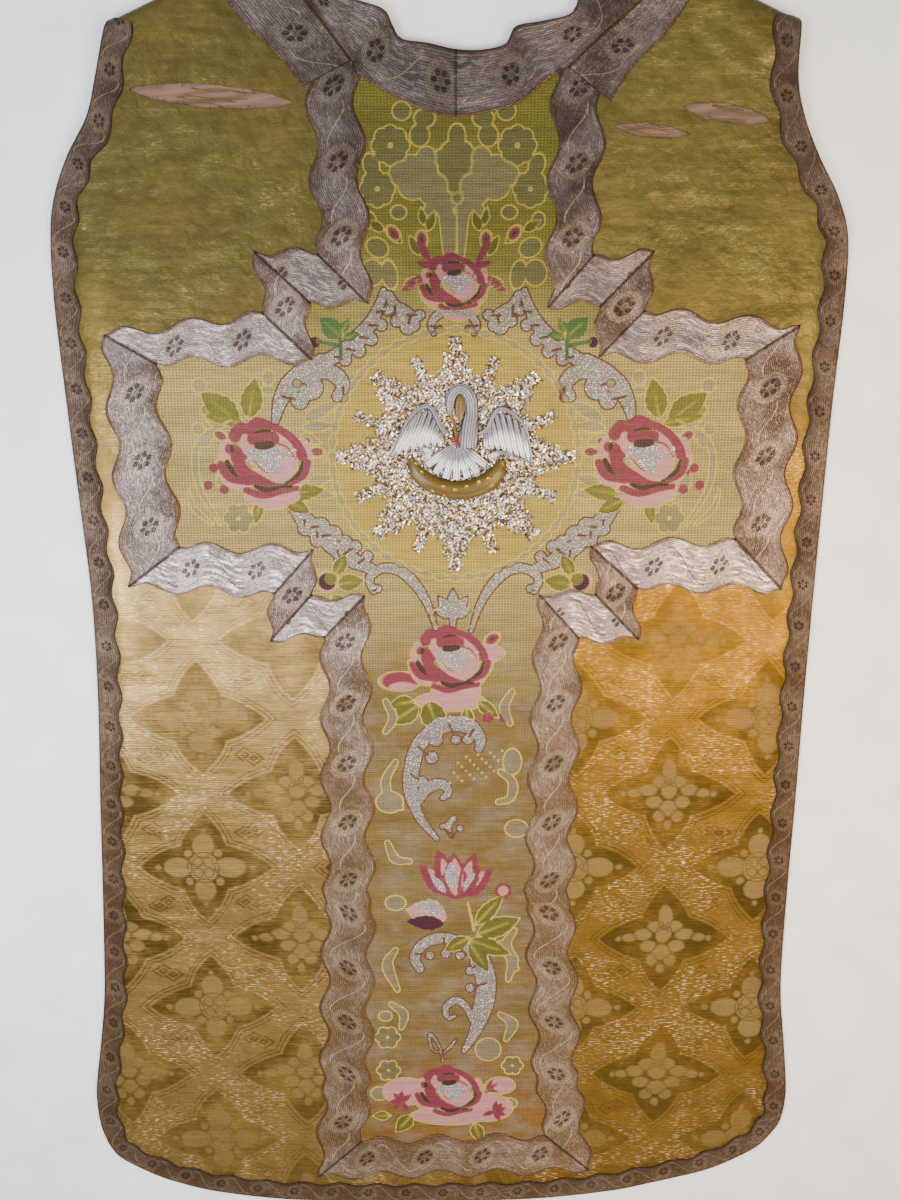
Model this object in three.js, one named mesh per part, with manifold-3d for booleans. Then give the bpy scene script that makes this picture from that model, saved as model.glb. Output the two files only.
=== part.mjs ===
// Chasuble of fiddle-backed cut, lying flat with its back panel uppermost.
// Millimetres. +Y runs from hem to neck, +Z up from the surface that it lies on.
import * as THREE from "three";
import Module from "manifold-3d";

const wasm = await Module();
wasm.setup();

// Cloth and its layers. Heights on the back are measured from its underside.
const GAP = 0.3;
const BACK_THICK = 1.5;
const ORPHREY = { low: 1.8, high: 2.8 };
const BRAID = { low: 1.8, high: 4.1, overOrphrey: 3.1 };
const EDGE_BRAID_TOP = 3.0;
const FRONT_THICK = 2.6;
const FRONT_BRAID = { low: 0.3, high: 1.3 };
const LINING = { low: -1.3, high: -0.3 };

// Shoulder fold, where the back turns down to meet the front.
const FOLD_TOP_Y = 585;
const NECK_HALF = 113;
const SHOULDER_SLOPE = 0.441;
const FOLD_RADIUS = 7;
const SEAM_HALF_GAP = 0.15;
const BEYOND_FOLD = 620;

// Bands: distance of each grid ring inside the back's outline.
const RING_INSETS = [-8, 9, 27];
const REST_HEIGHT = 2.9;

const CROSS_WAVE = { repeat: 58, swing: 4.6, perRepeat: 6, fade: 14 };
const EDGE_WAVE = { width: 21, repeat: 38, swing: 2.2, perRepeat: 4 };
const FRONT_BRAID_WIDTH = 21;

// Back outline. y, then how far the left and right edges stand from the centre line.
const SIDES = [
  { y: 516, left: 277, right: 275 },
  { y: 472, left: 290, right: 276 },
  { y: 442, left: 300, right: 284 },
  { y: 411, left: 319, right: 299 },
  { y: 380, left: 332, right: 317 },
  { y: 348, left: 338, right: 328 },
  { y: 300, left: 340, right: 330 },
  { y: 216, left: 336, right: 326 },
  { y: 130, left: 331, right: 323.5 },
  { y: 39, left: 326, right: 321.3 },
  { y: -55, left: 327, right: 319.5 },
  { y: -153, left: 331.7, right: 318.5 },
  { y: -234, left: 335, right: 317 },
  { y: -318, left: 339, right: 316.5 },
  { y: -361, left: 342, right: 318.5 },
  { y: -405, left: 348, right: 324 },
  { y: -449, left: 355, right: 329 },
  { y: -472, left: 356.5, right: 329.5 },
  { y: -495, left: 355, right: 325.5 },
  { y: -512, left: 351, right: 315 },
];
// Hem from the left corner to the right corner.
const HEM = [
  { x: -345, y: -526 },
  { x: -335, y: -538 },
  { x: -310, y: -553 },
  { x: -285, y: -564 },
  { x: -242, y: -576 },
  { x: -175, y: -585 },
  { x: -100, y: -587.5 },
  { x: -25, y: -588 },
  { x: 76, y: -585 },
  { x: 155, y: -576 },
  { x: 203, y: -565 },
  { x: 251, y: -552 },
  { x: 278, y: -540 },
  { x: 303, y: -525 },
];

// Heights of the back's underside below the fold: inside, and at its side edge.
const SHOULDER_ROWS = [
  { below: 260, inside: REST_HEIGHT, edge: 0 },
  { below: 215, inside: 3.4, edge: 0 },
  { below: 170, inside: 4.4, edge: 0 },
  { below: 125, inside: 5.2, edge: 4.2 },
  { below: 90, inside: 6.2, edge: 5.5 },
  { below: 60, inside: 7.8, edge: 7.4 },
  { below: 30, inside: 10.4, edge: 10.2 },
];
const FOLD_ANGLES = [0, 30, 60];
const TOP_COLUMNS = [-196, -NECK_HALF, -56, 0, 56, NECK_HALF, 196];
const HEM_COLUMNS = [-255, -160, -78, 0, 78, 158, 236];
const BODY_ROWS = [
  -484, -444, -404, -364, -324, -284, -244, -204, -164, -124, -74, -14, 46, 106, 166, 226,
];

// Soft ripples in the cloth. Centre, half length across, half width along y, height.
const RIPPLES = [
  { x: -40, y: -204, across: 150, along: 26, height: 2.0 },
  { x: 30, y: -284, across: 170, along: 26, height: 2.6 },
  { x: 20, y: -364, across: 190, along: 28, height: 2.2 },
  { x: 230, y: -324, across: 90, along: 30, height: 2.4 },
  { x: -250, y: -244, across: 80, along: 30, height: 2.4 },
  { x: 220, y: -444, across: 90, along: 30, height: 1.8 },
];

// Galloon round the cross: its outer and inner edge at each corner or bend.
const CROSS = [
  { ox: -119, oy: 500, ix: -80, iy: 500, bend: true },
  { ox: -115, oy: 335.5, ix: -73, iy: 295, bend: false },
  { ox: -168.7, oy: 338, ix: -122, iy: 296, bend: false },
  { ox: -163, oy: 288, ix: -122, iy: 249, bend: false },
  { ox: -299, oy: 270, ix: -255, iy: 246, bend: false },
  { ox: -292, oy: 51, ix: -243, iy: 88, bend: false },
  { ox: -162, oy: 45, ix: -125, iy: 86, bend: false },
  { ox: -167, oy: 1.5, ix: -128, iy: 44.5, bend: false },
  { ox: -118, oy: 5, ix: -80, iy: 44, bend: false },
  { ox: -123, oy: -254, ix: -79, iy: -254, bend: true },
  { ox: -130, oy: -449, ix: -84, iy: -449, bend: true },
  { ox: -138, oy: -557, ix: -93, iy: -514, bend: false },
  { ox: 136, oy: -549, ix: 91, iy: -508, bend: false },
  { ox: 122, oy: -449, ix: 81, iy: -449, bend: true },
  { ox: 110, oy: -254, ix: 69, iy: -254, bend: true },
  { ox: 112, oy: 4, ix: 75, iy: 45, bend: false },
  { ox: 166, oy: 2.5, ix: 125, iy: 45, bend: false },
  { ox: 163, oy: 50, ix: 120, iy: 89, bend: false },
  { ox: 292, oy: 49, ix: 247, iy: 95, bend: false },
  { ox: 293, oy: 278, ix: 247, iy: 249, bend: false },
  { ox: 160, oy: 290, ix: 122, iy: 251, bend: false },
  { ox: 167, oy: 338, ix: 122, iy: 293, bend: false },
  { ox: 116, oy: 335, ix: 78, iy: 292, bend: false },
  { ox: 121, oy: 500, ix: 82, iy: 500, bend: true },
];
// How far the orphrey runs out below its braid, as a share of the braid's width.
const ORPHREY_UNDER_BRAID = 0.4;
const ORPHREY_TOP = [
  [97, 462], [74, 481], [42, 467], [0, 456], [-42, 469], [-74, 481], [-97, 466],
];

const NECK_EDGE = [
  [-113, 585], [-104, 558], [-97, 533], [-77, 527.5], [-57, 521], [-50, 509],
  [-43, 500], [-22, 497], [0, 492.5], [21, 492], [40, 496.5], [48, 509], [70, 513],
  [92, 518.5], [98, 532], [105, 558], [113, 585],
];
const NECK_OUTER = [
  [180, 556], [151, 532], [118, 504], [91, 480], [73, 469], [52.7, 453], [27, 445.5], [0, 442],
  [-27, 447.5], [-49.6, 457], [-76, 471], [-84, 485], [-103, 509], [-122, 532], [-152, 569],
];
const SHOULDER_LEFT = [
  [-150, 567], [-121, 531], [-82, 485], [-124, 465], [-141, 486], [-166, 508], [-186, 532],
  [-200, 547],
];
const SHOULDER_RIGHT = [
  [178, 555], [150, 530], [89, 479.5], [126, 454], [143, 479], [168, 503], [189, 532], [203, 546],
];

const RIPS = [
  { x: -198, y: 457.5, long: 66, high: 9, turn: -4 },
  { x: 160, y: 432, long: 31, high: 5.5, turn: -6 },
  { x: 221, y: 444.5, long: 36, high: 7.5, turn: -9 },
];
const LINING_PATCHES = {
  interlining_left: [[-272, 440], [-122, 436], [-122, 474], [-272, 480]],
  interlining_right: [[118, 416], [266, 420], [266, 464], [118, 458]],
};

// Hidden front: half width at each height, then its neckline.
const FRONT_SIDE = [
  [273, 515], [266, 480], [259, 440], [254, 395], [250, 330], [250, 200], [258, 0],
  [276, -200], [289, -400], [288, -455], [279, -485], [262, -505], [230, -524], [150, -535],
];
const FRONT_HEM_Y = -540;
const FRONT_NECK = [
  [-113, 585], [-104, 540], [-88, 490], [-55, 452], [0, 432], [55, 452], [88, 490], [104, 540],
  [113, 585],
];

// Sunburst: rays from its centre. Half widths step down at each radius.
const SUN = { x: 0, y: 167, low: 3.1, high: 4.6, hub: 50 };
const RAYS = [
  { turn: 0, steps: [[64, 12], [80, 8], [101, 3.5]] },
  { turn: 22.5, steps: [[86, 3.2]] },
  { turn: 45, steps: [[58, 11], [72, 7.5], [90, 3.5]] },
  { turn: 67.5, steps: [[82, 3.2]] },
  { turn: 90, steps: [[60, 12], [74, 8], [94, 3.5]] },
];

const PELICAN_BASE = REST_HEIGHT + SUN.high + GAP;

function welded(geometry) {
  const position = geometry.getAttribute("position");
  const index = geometry.getIndex();
  const count = index ? index.count : position.count;
  const seen = new Map();
  const points = [];
  const corners = [];
  for (let k = 0; k < count; k += 1) {
    const v = index ? index.getX(k) : k;
    const at = [position.getX(v), position.getY(v), position.getZ(v)];
    const key = at.map((value) => Math.round(value * 1e4)).join(",");
    if (!seen.has(key)) {
      seen.set(key, points.length / 3);
      points.push(...at);
    }
    corners.push(seen.get(key));
  }
  const faces = [];
  for (let k = 0; k < corners.length; k += 3) {
    const [a, b, c] = corners.slice(k, k + 3);
    if (a !== b && b !== c && c !== a) {
      faces.push(a, b, c);
    }
  }
  return { points, faces };
}

function solidOf(geometry) {
  const { points, faces } = welded(geometry);
  return new wasm.Manifold(new wasm.Mesh({
    numProp: 3,
    vertProperties: new Float32Array(points),
    triVerts: new Uint32Array(faces),
  }));
}

function geometryOf(solid) {
  const mesh = solid.getMesh();
  const geometry = new THREE.BufferGeometry();
  const corners = new Float32Array(mesh.vertProperties);
  geometry.setAttribute("position", new THREE.BufferAttribute(corners, 3));
  geometry.setIndex(new THREE.BufferAttribute(new Uint32Array(mesh.triVerts), 1));
  geometry.computeVertexNormals();
  return geometry;
}

function prism(outline, low = -20, high = 60) {
  const shape = new THREE.Shape(outline.map(([x, y]) => new THREE.Vector2(x, y)));
  const geometry = new THREE.ExtrudeGeometry(shape, { depth: high - low, bevelEnabled: false });
  geometry.translate(0, 0, low);
  return solidOf(geometry);
}

function grown(outline, by) {
  const turnsLeft = THREE.ShapeUtils.area(outline.map(([x, y]) => new THREE.Vector2(x, y))) > 0;
  const side = turnsLeft ? 1 : -1;
  const count = outline.length;
  return outline.map((point, k) => {
    const before = outline[(k + count - 1) % count];
    const after = outline[(k + 1) % count];
    const a = unit(point[0] - before[0], point[1] - before[1]);
    const b = unit(after[0] - point[0], after[1] - point[1]);
    const normal = unit(a[1] + b[1], -a[0] - b[0]);
    const lean = Math.max(0.35, normal[0] * a[1] - normal[1] * a[0]);
    return [point[0] + (side * by * normal[0]) / lean, point[1] + (side * by * normal[1]) / lean];
  });
}

function unit(x, y) {
  const length = Math.hypot(x, y) || 1;
  return [x / length, y / length];
}

const LEFT_SIDE = SIDES.map((row) => [-row.left, row.y]);
const RIGHT_SIDE = SIDES.map((row) => [row.right, row.y]);
const HEM_LINE = HEM.map((p) => [p.x, p.y]);
const OUTER_EDGE = [...LEFT_SIDE, ...HEM_LINE, ...[...RIGHT_SIDE].reverse()];

// Side line with the turn into the hem.
function sideLine(side) {
  return side < 0 ? [...LEFT_SIDE, ...HEM_LINE.slice(0, 2)] : [...RIGHT_SIDE, ...HEM_LINE.slice(-1)];
}

function foldY(x) {
  return FOLD_TOP_Y - Math.max(0, Math.abs(x) - NECK_HALF) * SHOULDER_SLOPE;
}

// Point on the outline beside a side row or below a hem column, moved inwards.
function insetAt(line, axis, value, inset) {
  const pointAt = (where) => {
    const ahead = line[0][axis] < line[line.length - 1][axis] ? 1 : -1;
    let k = 0;
    while (k < line.length - 2 && ahead * (line[k + 1][axis] - where) < 0) {
      k += 1;
    }
    const share = (where - line[k][axis]) / (line[k + 1][axis] - line[k][axis]);
    return [0, 1].map((n) => line[k][n] + share * (line[k + 1][n] - line[k][n]));
  };
  const [x, y] = pointAt(value);
  const a = pointAt(value - 12);
  const b = pointAt(value + 12);
  const along = unit(b[0] - a[0], b[1] - a[1]);
  let inwards = [-along[1], along[0]];
  if (inwards[0] * -x + inwards[1] * (0 - y) < 0) {
    inwards = [along[1], -along[0]];
  }
  return [x + inwards[0] * inset, y + inwards[1] * inset];
}

function rippleAt(x, y) {
  return RIPPLES.reduce((sum, ripple) => {
    const across = Math.abs(x - ripple.x) / ripple.across;
    const along = Math.abs(y - ripple.y) / ripple.along;
    return across < 1 && along < 1 ? Math.max(sum, ripple.height * (1 - across ** 4)) : sum;
  }, 0);
}

// Grid of points that all layers on the back share, each with the way it is moved out.
function backGrid() {
  const rows = [];
  const hemLine = [LEFT_SIDE[LEFT_SIDE.length - 1], ...HEM_LINE, RIGHT_SIDE[RIGHT_SIDE.length - 1]];
  const flat = (at, height) => ({ at, height, fold: null });
  const corner = (side, inset) => {
    const spot = side < 0 ? HEM_LINE[1] : HEM_LINE[HEM_LINE.length - 1];
    const inwards = unit(-side * 0.72, 0.7);
    return [spot[0] + inwards[0] * inset, spot[1] + inwards[1] * inset];
  };
  const hemRow = (inset) => HEM_COLUMNS.map((x) => insetAt(hemLine, 0, x, inset));
  RING_INSETS.forEach((inset, ring) => {
    const ends = (side) => RING_INSETS.map((other, n) => {
      const [x, y] = corner(side, 0);
      if (n > ring) {
        return insetAt(hemLine, 0, x - side * (other - inset) * 1.3, inset);
      }
      return n === ring ? corner(side, inset) : insetAt(sideLine(side), 1, y + (inset - other) * 1.3, other);
    });
    const height = ring === 2 ? REST_HEIGHT : 0;
    const left = ends(-1);
    const right = ends(1).reverse();
    rows.push([
      ...left.map((at, n) => flat(at, n === 2 ? height : 0)),
      ...hemRow(inset).map((at) => flat(at, height)),
      ...right.map((at, n) => flat(at, n === 0 ? height : 0)),
    ]);
  });
  const top = shoulderRow(SHOULDER_ROWS[0]);
  const first = rows[2];
  const inner = first.length;
  const lowY = -500;
  const highY = BODY_ROWS[BODY_ROWS.length - 1] + 100;
  BODY_ROWS.forEach((y) => {
    const share = (y - lowY) / (highY - lowY);
    const row = [];
    const left = RING_INSETS.map((inset) => insetAt(LEFT_SIDE, 1, y, inset));
    const right = RING_INSETS.map((inset) => insetAt(RIGHT_SIDE, 1, y, inset)).reverse();
    for (let n = 0; n < inner; n += 1) {
      if (n < 3) {
        row.push(flat(left[n], n === 2 ? REST_HEIGHT : 0));
      } else if (n >= inner - 3) {
        row.push(flat(right[n - inner + 3], n === inner - 3 ? REST_HEIGHT : 0));
      } else {
        const x = first[n].at[0] + share * (top[n].at[0] - first[n].at[0]);
        row.push(flat([x, y], REST_HEIGHT + rippleAt(x, y)));
      }
    }
    rows.push(row);
  });
  SHOULDER_ROWS.forEach((level) => rows.push(shoulderRow(level)));
  FOLD_ANGLES.forEach((angle) => rows.push(foldRow(angle)));
  rows.push(foldRow(90));
  return rows;
}

function columnsAt(below) {
  const side = (line, sign, inset) => {
    let x = sign * 280;
    for (let turn = 0; turn < 6; turn += 1) {
      x = insetAt(line, 1, Math.min(foldY(x) - below, 516), 0)[0] - sign * inset;
    }
    return x;
  };
  return [
    ...RING_INSETS.map((inset) => side(LEFT_SIDE, -1, inset)),
    ...TOP_COLUMNS,
    ...RING_INSETS.map((inset) => side(RIGHT_SIDE, 1, inset)).reverse(),
  ];
}

function shoulderRow(level) {
  const columns = columnsAt(level.below);
  const last = columns.length - 1;
  return columns.map((x, n) => {
    const outside = n < 2 || n > last - 2;
    const height = outside ? level.edge : level.inside;
    return { at: [x, foldY(x) - level.below], height, fold: null };
  });
}

function foldRow(angle) {
  return columnsAt(FOLD_RADIUS).map((x) => ({
    at: [x, foldY(x) - FOLD_RADIUS], height: 0, fold: angle,
  }));
}

// Where a grid point goes when its layer lies "out" above the back's underside.
function backPoint(node, out) {
  const [x, y] = node.at;
  if (node.fold === null) {
    return [x, y, node.height + out];
  }
  const reach = FOLD_RADIUS - BACK_THICK + out;
  const turn = THREE.MathUtils.degToRad(node.fold);
  const seam = node.fold === 90 ? SEAM_HALF_GAP : 0;
  return [x, y + reach * Math.sin(turn), FOLD_RADIUS + reach * Math.cos(turn) + seam];
}

function frontGrid() {
  const columns = [-300, -NECK_HALF, NECK_HALF, 300];
  const lowest = columns.map((x) => ({ at: [x, -560], fold: 90 }));
  const bends = [90, 60, 30, 0].map((angle) => columns.map((x) => ({
    at: [x, foldY(x) - FOLD_RADIUS], fold: angle,
  })));
  return [lowest, ...bends];
}

// The front's outer face lies on the surface, so its layers are counted upwards from there.
function frontPoint(node, out) {
  const [x, y] = node.at;
  const reach = FOLD_RADIUS - out;
  const turn = THREE.MathUtils.degToRad(node.fold);
  const seam = node.fold === 0 ? SEAM_HALF_GAP : 0;
  return [x, y + reach * Math.cos(turn), FOLD_RADIUS - reach * Math.sin(turn) - seam];
}

// Closed layer between two distances from the cloth's face.
function slab(grid, place, low, high) {
  const width = grid[0].length;
  const depth = grid.length;
  const points = [];
  [low, high].forEach((out) => {
    grid.flat().forEach((node) => points.push(...place(node, out)));
  });
  const at = (level, row, column) => level * width * depth + row * width + column;
  const faces = [];
  const quad = (a, b, c, d) => faces.push(a, b, c, a, c, d);
  for (let r = 0; r < depth - 1; r += 1) {
    for (let c = 0; c < width - 1; c += 1) {
      quad(at(1, r, c), at(1, r, c + 1), at(1, r + 1, c + 1), at(1, r + 1, c));
      faces.push(at(0, r, c), at(0, r + 1, c + 1), at(0, r, c + 1));
      faces.push(at(0, r, c), at(0, r + 1, c), at(0, r + 1, c + 1));
    }
    quad(at(0, r, 0), at(1, r, 0), at(1, r + 1, 0), at(0, r + 1, 0));
    const c = width - 1;
    quad(at(0, r + 1, c), at(1, r + 1, c), at(1, r, c), at(0, r, c));
  }
  for (let c = 0; c < width - 1; c += 1) {
    quad(at(0, 0, c + 1), at(1, 0, c + 1), at(1, 0, c), at(0, 0, c));
    const r = depth - 1;
    quad(at(0, r, c), at(1, r, c), at(1, r, c + 1), at(0, r, c + 1));
  }
  const geometry = new THREE.BufferGeometry();
  geometry.setAttribute("position", new THREE.BufferAttribute(new Float32Array(points), 3));
  geometry.setIndex(faces);
  return solidOf(geometry);
}

const BACK_GRID = backGrid();
const FRONT_GRID = frontGrid();
const backLayer = (low, high) => slab(BACK_GRID, backPoint, low, high);
const frontLayer = (low, high) => slab(FRONT_GRID, frontPoint, low, high);

// Line at an even distance inside another, swinging in and out if asked.
function parallel(points, distance, wave) {
  const spots = points.map(([x, y]) => new THREE.Vector3(x, y, 0));
  const curve = new THREE.CatmullRomCurve3(spots, false, "centripetal");
  const length = curve.getLength();
  const step = wave ? wave.repeat / wave.perRepeat : 40;
  const count = Math.round(length / step);
  const line = [];
  for (let k = 0; k <= count; k += 1) {
    const p = curve.getPointAt(k / count);
    const t = curve.getTangentAt(k / count);
    const swing = wave ? wave.swing * Math.sin((2 * Math.PI * k) / wave.perRepeat) : 0;
    const by = distance + swing;
    line.push([p.x - t.y * by, p.y + t.x * by]);
  }
  return line;
}

// One edge of a straight run of wide galloon, with its scallops.
function scallopedRun(from, to, mid, along, outward) {
  const length = Math.hypot(to[0] - from[0], to[1] - from[1]);
  const steps = Math.max(1, Math.round((length * CROSS_WAVE.perRepeat) / CROSS_WAVE.repeat));
  const run = [];
  for (let k = 0; k < steps; k += 1) {
    const share = k / steps;
    const x = from[0] + share * (to[0] - from[0]);
    const y = from[1] + share * (to[1] - from[1]);
    const place = (x - mid[0]) * along[0] + (y - mid[1]) * along[1];
    const end = Math.min(share, 1 - share) * length;
    const fade = Math.min(1, end / CROSS_WAVE.fade);
    const swing = CROSS_WAVE.swing * fade * Math.sin((2 * Math.PI * place) / CROSS_WAVE.repeat);
    run.push([x + outward[0] * swing, y + outward[1] * swing]);
  }
  return run;
}

function crossBraidOutline() {
  const outer = [];
  const inner = [];
  for (let k = 0; k < CROSS.length - 1; k += 1) {
    const a = CROSS[k];
    const b = CROSS[k + 1];
    const along = unit(b.ox + b.ix - a.ox - a.ix, b.oy + b.iy - a.oy - a.iy);
    const mid = [(a.ox + a.ix + b.ox + b.ix) / 4, (a.oy + a.iy + b.oy + b.iy) / 4];
    const outward = [along[1], -along[0]];
    outer.push(...scallopedRun([a.ox, a.oy], [b.ox, b.oy], mid, along, outward));
    inner.push(...scallopedRun([a.ix, a.iy], [b.ix, b.iy], mid, along, outward));
  }
  const last = CROSS[CROSS.length - 1];
  return [...outer, [last.ox, last.oy], [last.ix, last.iy], ...inner.reverse()];
}

function orphreyOutline() {
  const edge = CROSS.slice(1, -1).map((p) => [
    p.ix + ORPHREY_UNDER_BRAID * (p.ox - p.ix),
    p.iy + ORPHREY_UNDER_BRAID * (p.oy - p.iy),
  ]);
  return [...edge, ...ORPHREY_TOP];
}

function raisedOver(points) {
  const first = points[0];
  const last = points[points.length - 1];
  return [[first[0], BEYOND_FOLD], ...points, [last[0], BEYOND_FOLD]];
}

const NECK_BRAID_OUTLINE = [...raisedOver(NECK_EDGE), ...raisedOver(NECK_OUTER)];
const SHOULDER_OUTLINES = {
  shoulder_braid_left: raisedOver(SHOULDER_LEFT),
  shoulder_braid_right: raisedOver(SHOULDER_RIGHT),
};

function backOutline() {
  return [...raisedOver(OUTER_EDGE), ...raisedOver([...NECK_EDGE].reverse())];
}

function edgeBraidOutline() {
  const inside = parallel(OUTER_EDGE, EDGE_WAVE.width, EDGE_WAVE);
  return [...raisedOver(OUTER_EDGE), ...raisedOver(inside).reverse()];
}

function spindle(rip) {
  const turn = THREE.MathUtils.degToRad(rip.turn);
  const count = 14;
  return Array.from({ length: count }, (_, k) => {
    const angle = (2 * Math.PI * k) / count;
    const x = rip.long * Math.cos(angle);
    const y = rip.high * Math.sin(angle) * (0.55 + 0.45 * Math.abs(Math.sin(angle)));
    return [
      rip.x + x * Math.cos(turn) - y * Math.sin(turn),
      rip.y + x * Math.sin(turn) + y * Math.cos(turn),
    ];
  });
}

function frontOutline() {
  const left = FRONT_SIDE.map(([x, y]) => [-x, y]);
  const right = [...FRONT_SIDE].reverse();
  const edge = [...left, [0, FRONT_HEM_Y], ...right];
  return [...raisedOver(edge), ...raisedOver([...FRONT_NECK].reverse())];
}

function frontEdgeLine() {
  return [...FRONT_SIDE.map(([x, y]) => [-x, y]), [0, FRONT_HEM_Y], ...[...FRONT_SIDE].reverse()];
}

function frontBraidOutlines() {
  const edge = frontEdgeLine();
  const inside = parallel(edge, FRONT_BRAID_WIDTH, null);
  const neck = [...FRONT_NECK].reverse();
  const neckInside = parallel(neck, FRONT_BRAID_WIDTH, null);
  return {
    front_edge_braid: [...raisedOver(edge), ...raisedOver(inside).reverse()],
    front_neck_braid: [...raisedOver(neck), ...raisedOver(neckInside).reverse()],
  };
}

function cut(solid, ...tools) {
  return tools.reduce((rest, tool) => wasm.Manifold.difference(rest, tool), solid);
}

function within(layer, outline) {
  return wasm.Manifold.intersection(layer, prism(outline));
}

function backSolids() {
  const braidLayer = backLayer(BRAID.low, BRAID.high);
  const orphreyShape = orphreyOutline();
  const orphreyRoom = within(backLayer(1, BRAID.overOrphrey), grown(orphreyShape, GAP));
  const neck = within(braidLayer, NECK_BRAID_OUTLINE);
  const neckRoom = prism(grown(NECK_BRAID_OUTLINE, GAP));
  const panel = within(backLayer(0, BACK_THICK), backOutline());
  const solids = {
    back_panel: cut(panel, ...RIPS.map((rip) => prism(spindle(rip)))),
    orphrey_cross: within(backLayer(ORPHREY.low, ORPHREY.high), orphreyShape),
    back_edge_braid: within(backLayer(BRAID.low, EDGE_BRAID_TOP), edgeBraidOutline()),
    neck_braid: cut(neck, orphreyRoom),
  };
  const rooms = [neckRoom, prism(grown(edgeBraidOutline(), GAP))];
  Object.entries(SHOULDER_OUTLINES).forEach(([name, outline]) => {
    solids[name] = cut(within(braidLayer, outline), neckRoom, orphreyRoom);
    rooms.push(prism(grown(outline, GAP)));
  });
  solids.cross_braid = cut(within(braidLayer, crossBraidOutline()), ...rooms, orphreyRoom);
  Object.entries(LINING_PATCHES).forEach(([name, outline]) => {
    solids[name] = within(backLayer(LINING.low, LINING.high), outline);
  });
  return solids;
}

function frontSolids() {
  const braids = frontBraidOutlines();
  const solids = {};
  let panel = within(frontLayer(0, FRONT_THICK), frontOutline());
  Object.entries(braids).forEach(([name, outline]) => {
    solids[name] = wasm.Manifold.intersection(
      within(frontLayer(FRONT_BRAID.low, FRONT_BRAID.high), outline), prism(frontOutline()),
    );
    panel = cut(panel, within(frontLayer(-1, FRONT_BRAID.high + GAP), grown(outline, GAP)));
  });
  solids.front_panel = panel;
  return solids;
}

function rayTurns() {
  const turns = [];
  for (let quarter = 0; quarter < 4; quarter += 1) {
    for (let k = 0; k < 4; k += 1) {
      const own = quarter % 2 === 0 ? RAYS[k] : RAYS[4 - k];
      turns.push({ turn: quarter * 90 + k * 22.5, steps: own.steps });
    }
  }
  return turns;
}

function sunOutline() {
  const points = [];
  rayTurns().forEach((ray) => {
    const angle = THREE.MathUtils.degToRad(ray.turn);
    const at = (radius, across) => [
      SUN.x + radius * Math.cos(angle) - across * Math.sin(angle),
      SUN.y + radius * Math.sin(angle) + across * Math.cos(angle),
    ];
    const side = [];
    let radius = SUN.hub;
    ray.steps.forEach(([reach, half]) => {
      side.push([radius, half], [reach, half]);
      radius = reach;
    });
    side.forEach(([r, half]) => points.push(at(r, -half)));
    [...side].reverse().forEach(([r, half]) => points.push(at(r, half)));
  });
  return points;
}

function lifted(solid) {
  const floor = prism([[-200, 0], [200, 0], [200, 400], [-200, 400]], PELICAN_BASE, 60);
  return wasm.Manifold.intersection(solid, floor);
}

// Padded shape with rounded edges, standing on the sunburst.
function pad(outline, height, round) {
  const shape = new THREE.Shape(outline.map(([x, y]) => new THREE.Vector2(x + SUN.x, y + SUN.y)));
  const geometry = new THREE.ExtrudeGeometry(shape, {
    depth: height,
    bevelEnabled: true,
    bevelThickness: round,
    bevelSize: round,
    bevelOffset: -round,
    bevelSegments: 2,
  });
  geometry.translate(0, 0, PELICAN_BASE - round);
  return lifted(solidOf(geometry));
}

// Padded cord of changing thickness along points of x, y and radius.
function cord(points, sides = 8) {
  const curve = new THREE.CatmullRomCurve3(points.map(([x, y]) => new THREE.Vector3(x, y, 0)));
  const rings = points.length * 3;
  const vertices = [];
  for (let k = 0; k <= rings; k += 1) {
    const share = k / rings;
    const p = curve.getPoint(share);
    const t = curve.getTangent(share);
    const place = share * (points.length - 1);
    const n = Math.min(points.length - 2, Math.floor(place));
    const radius = points[n][2] + (place - n) * (points[n + 1][2] - points[n][2]);
    for (let s = 0; s < sides; s += 1) {
      const angle = (2 * Math.PI * s) / sides;
      const across = radius * Math.cos(angle);
      vertices.push(
        SUN.x + p.x - t.y * across, SUN.y + p.y + t.x * across, PELICAN_BASE + radius * Math.sin(angle),
      );
    }
  }
  const faces = [];
  for (let k = 0; k < rings; k += 1) {
    for (let s = 0; s < sides; s += 1) {
      const a = k * sides + s;
      const b = k * sides + ((s + 1) % sides);
      faces.push(a, b, b + sides, a, b + sides, a + sides);
    }
  }
  for (let s = 1; s < sides - 1; s += 1) {
    faces.push(0, s + 1, s);
    const base = rings * sides;
    faces.push(base, base + s, base + s + 1);
  }
  const geometry = new THREE.BufferGeometry();
  geometry.setAttribute("position", new THREE.BufferAttribute(new Float32Array(vertices), 3));
  geometry.setIndex(faces);
  return solidOf(geometry);
}

// The bird's shapes are given from the centre of the sunburst.
const WING_LEFT = {
  web: [
    [-7, 20], [-12, 27], [-17, 35], [-24, 42], [-31, 39], [-38, 31], [-45, 20], [-50, 11],
    [-54, 1], [-46, 4], [-38, 7], [-28, 6], [-20, 5], [-12, 9],
  ],
  rim: [
    [-9, 20, 2.6], [-15, 28, 2.8], [-21, 38, 3], [-28, 40, 3], [-38, 29, 2.6], [-47, 14, 2.2],
    [-52, 4, 1.6],
  ],
};
const WING_RIGHT = {
  web: [
    [22, 19], [28, 26], [33, 34], [40, 40], [48, 36], [55, 28], [59, 18], [62, 8], [64, -2],
    [56, 2], [48, 5], [40, 5], [31, 4], [24, 9],
  ],
  rim: [
    [23, 19, 2.6], [30, 27, 2.8], [36, 37, 3], [43, 38, 3], [53, 28, 2.6], [59, 16, 2.2],
    [62, 2, 1.6],
  ],
};
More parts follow.
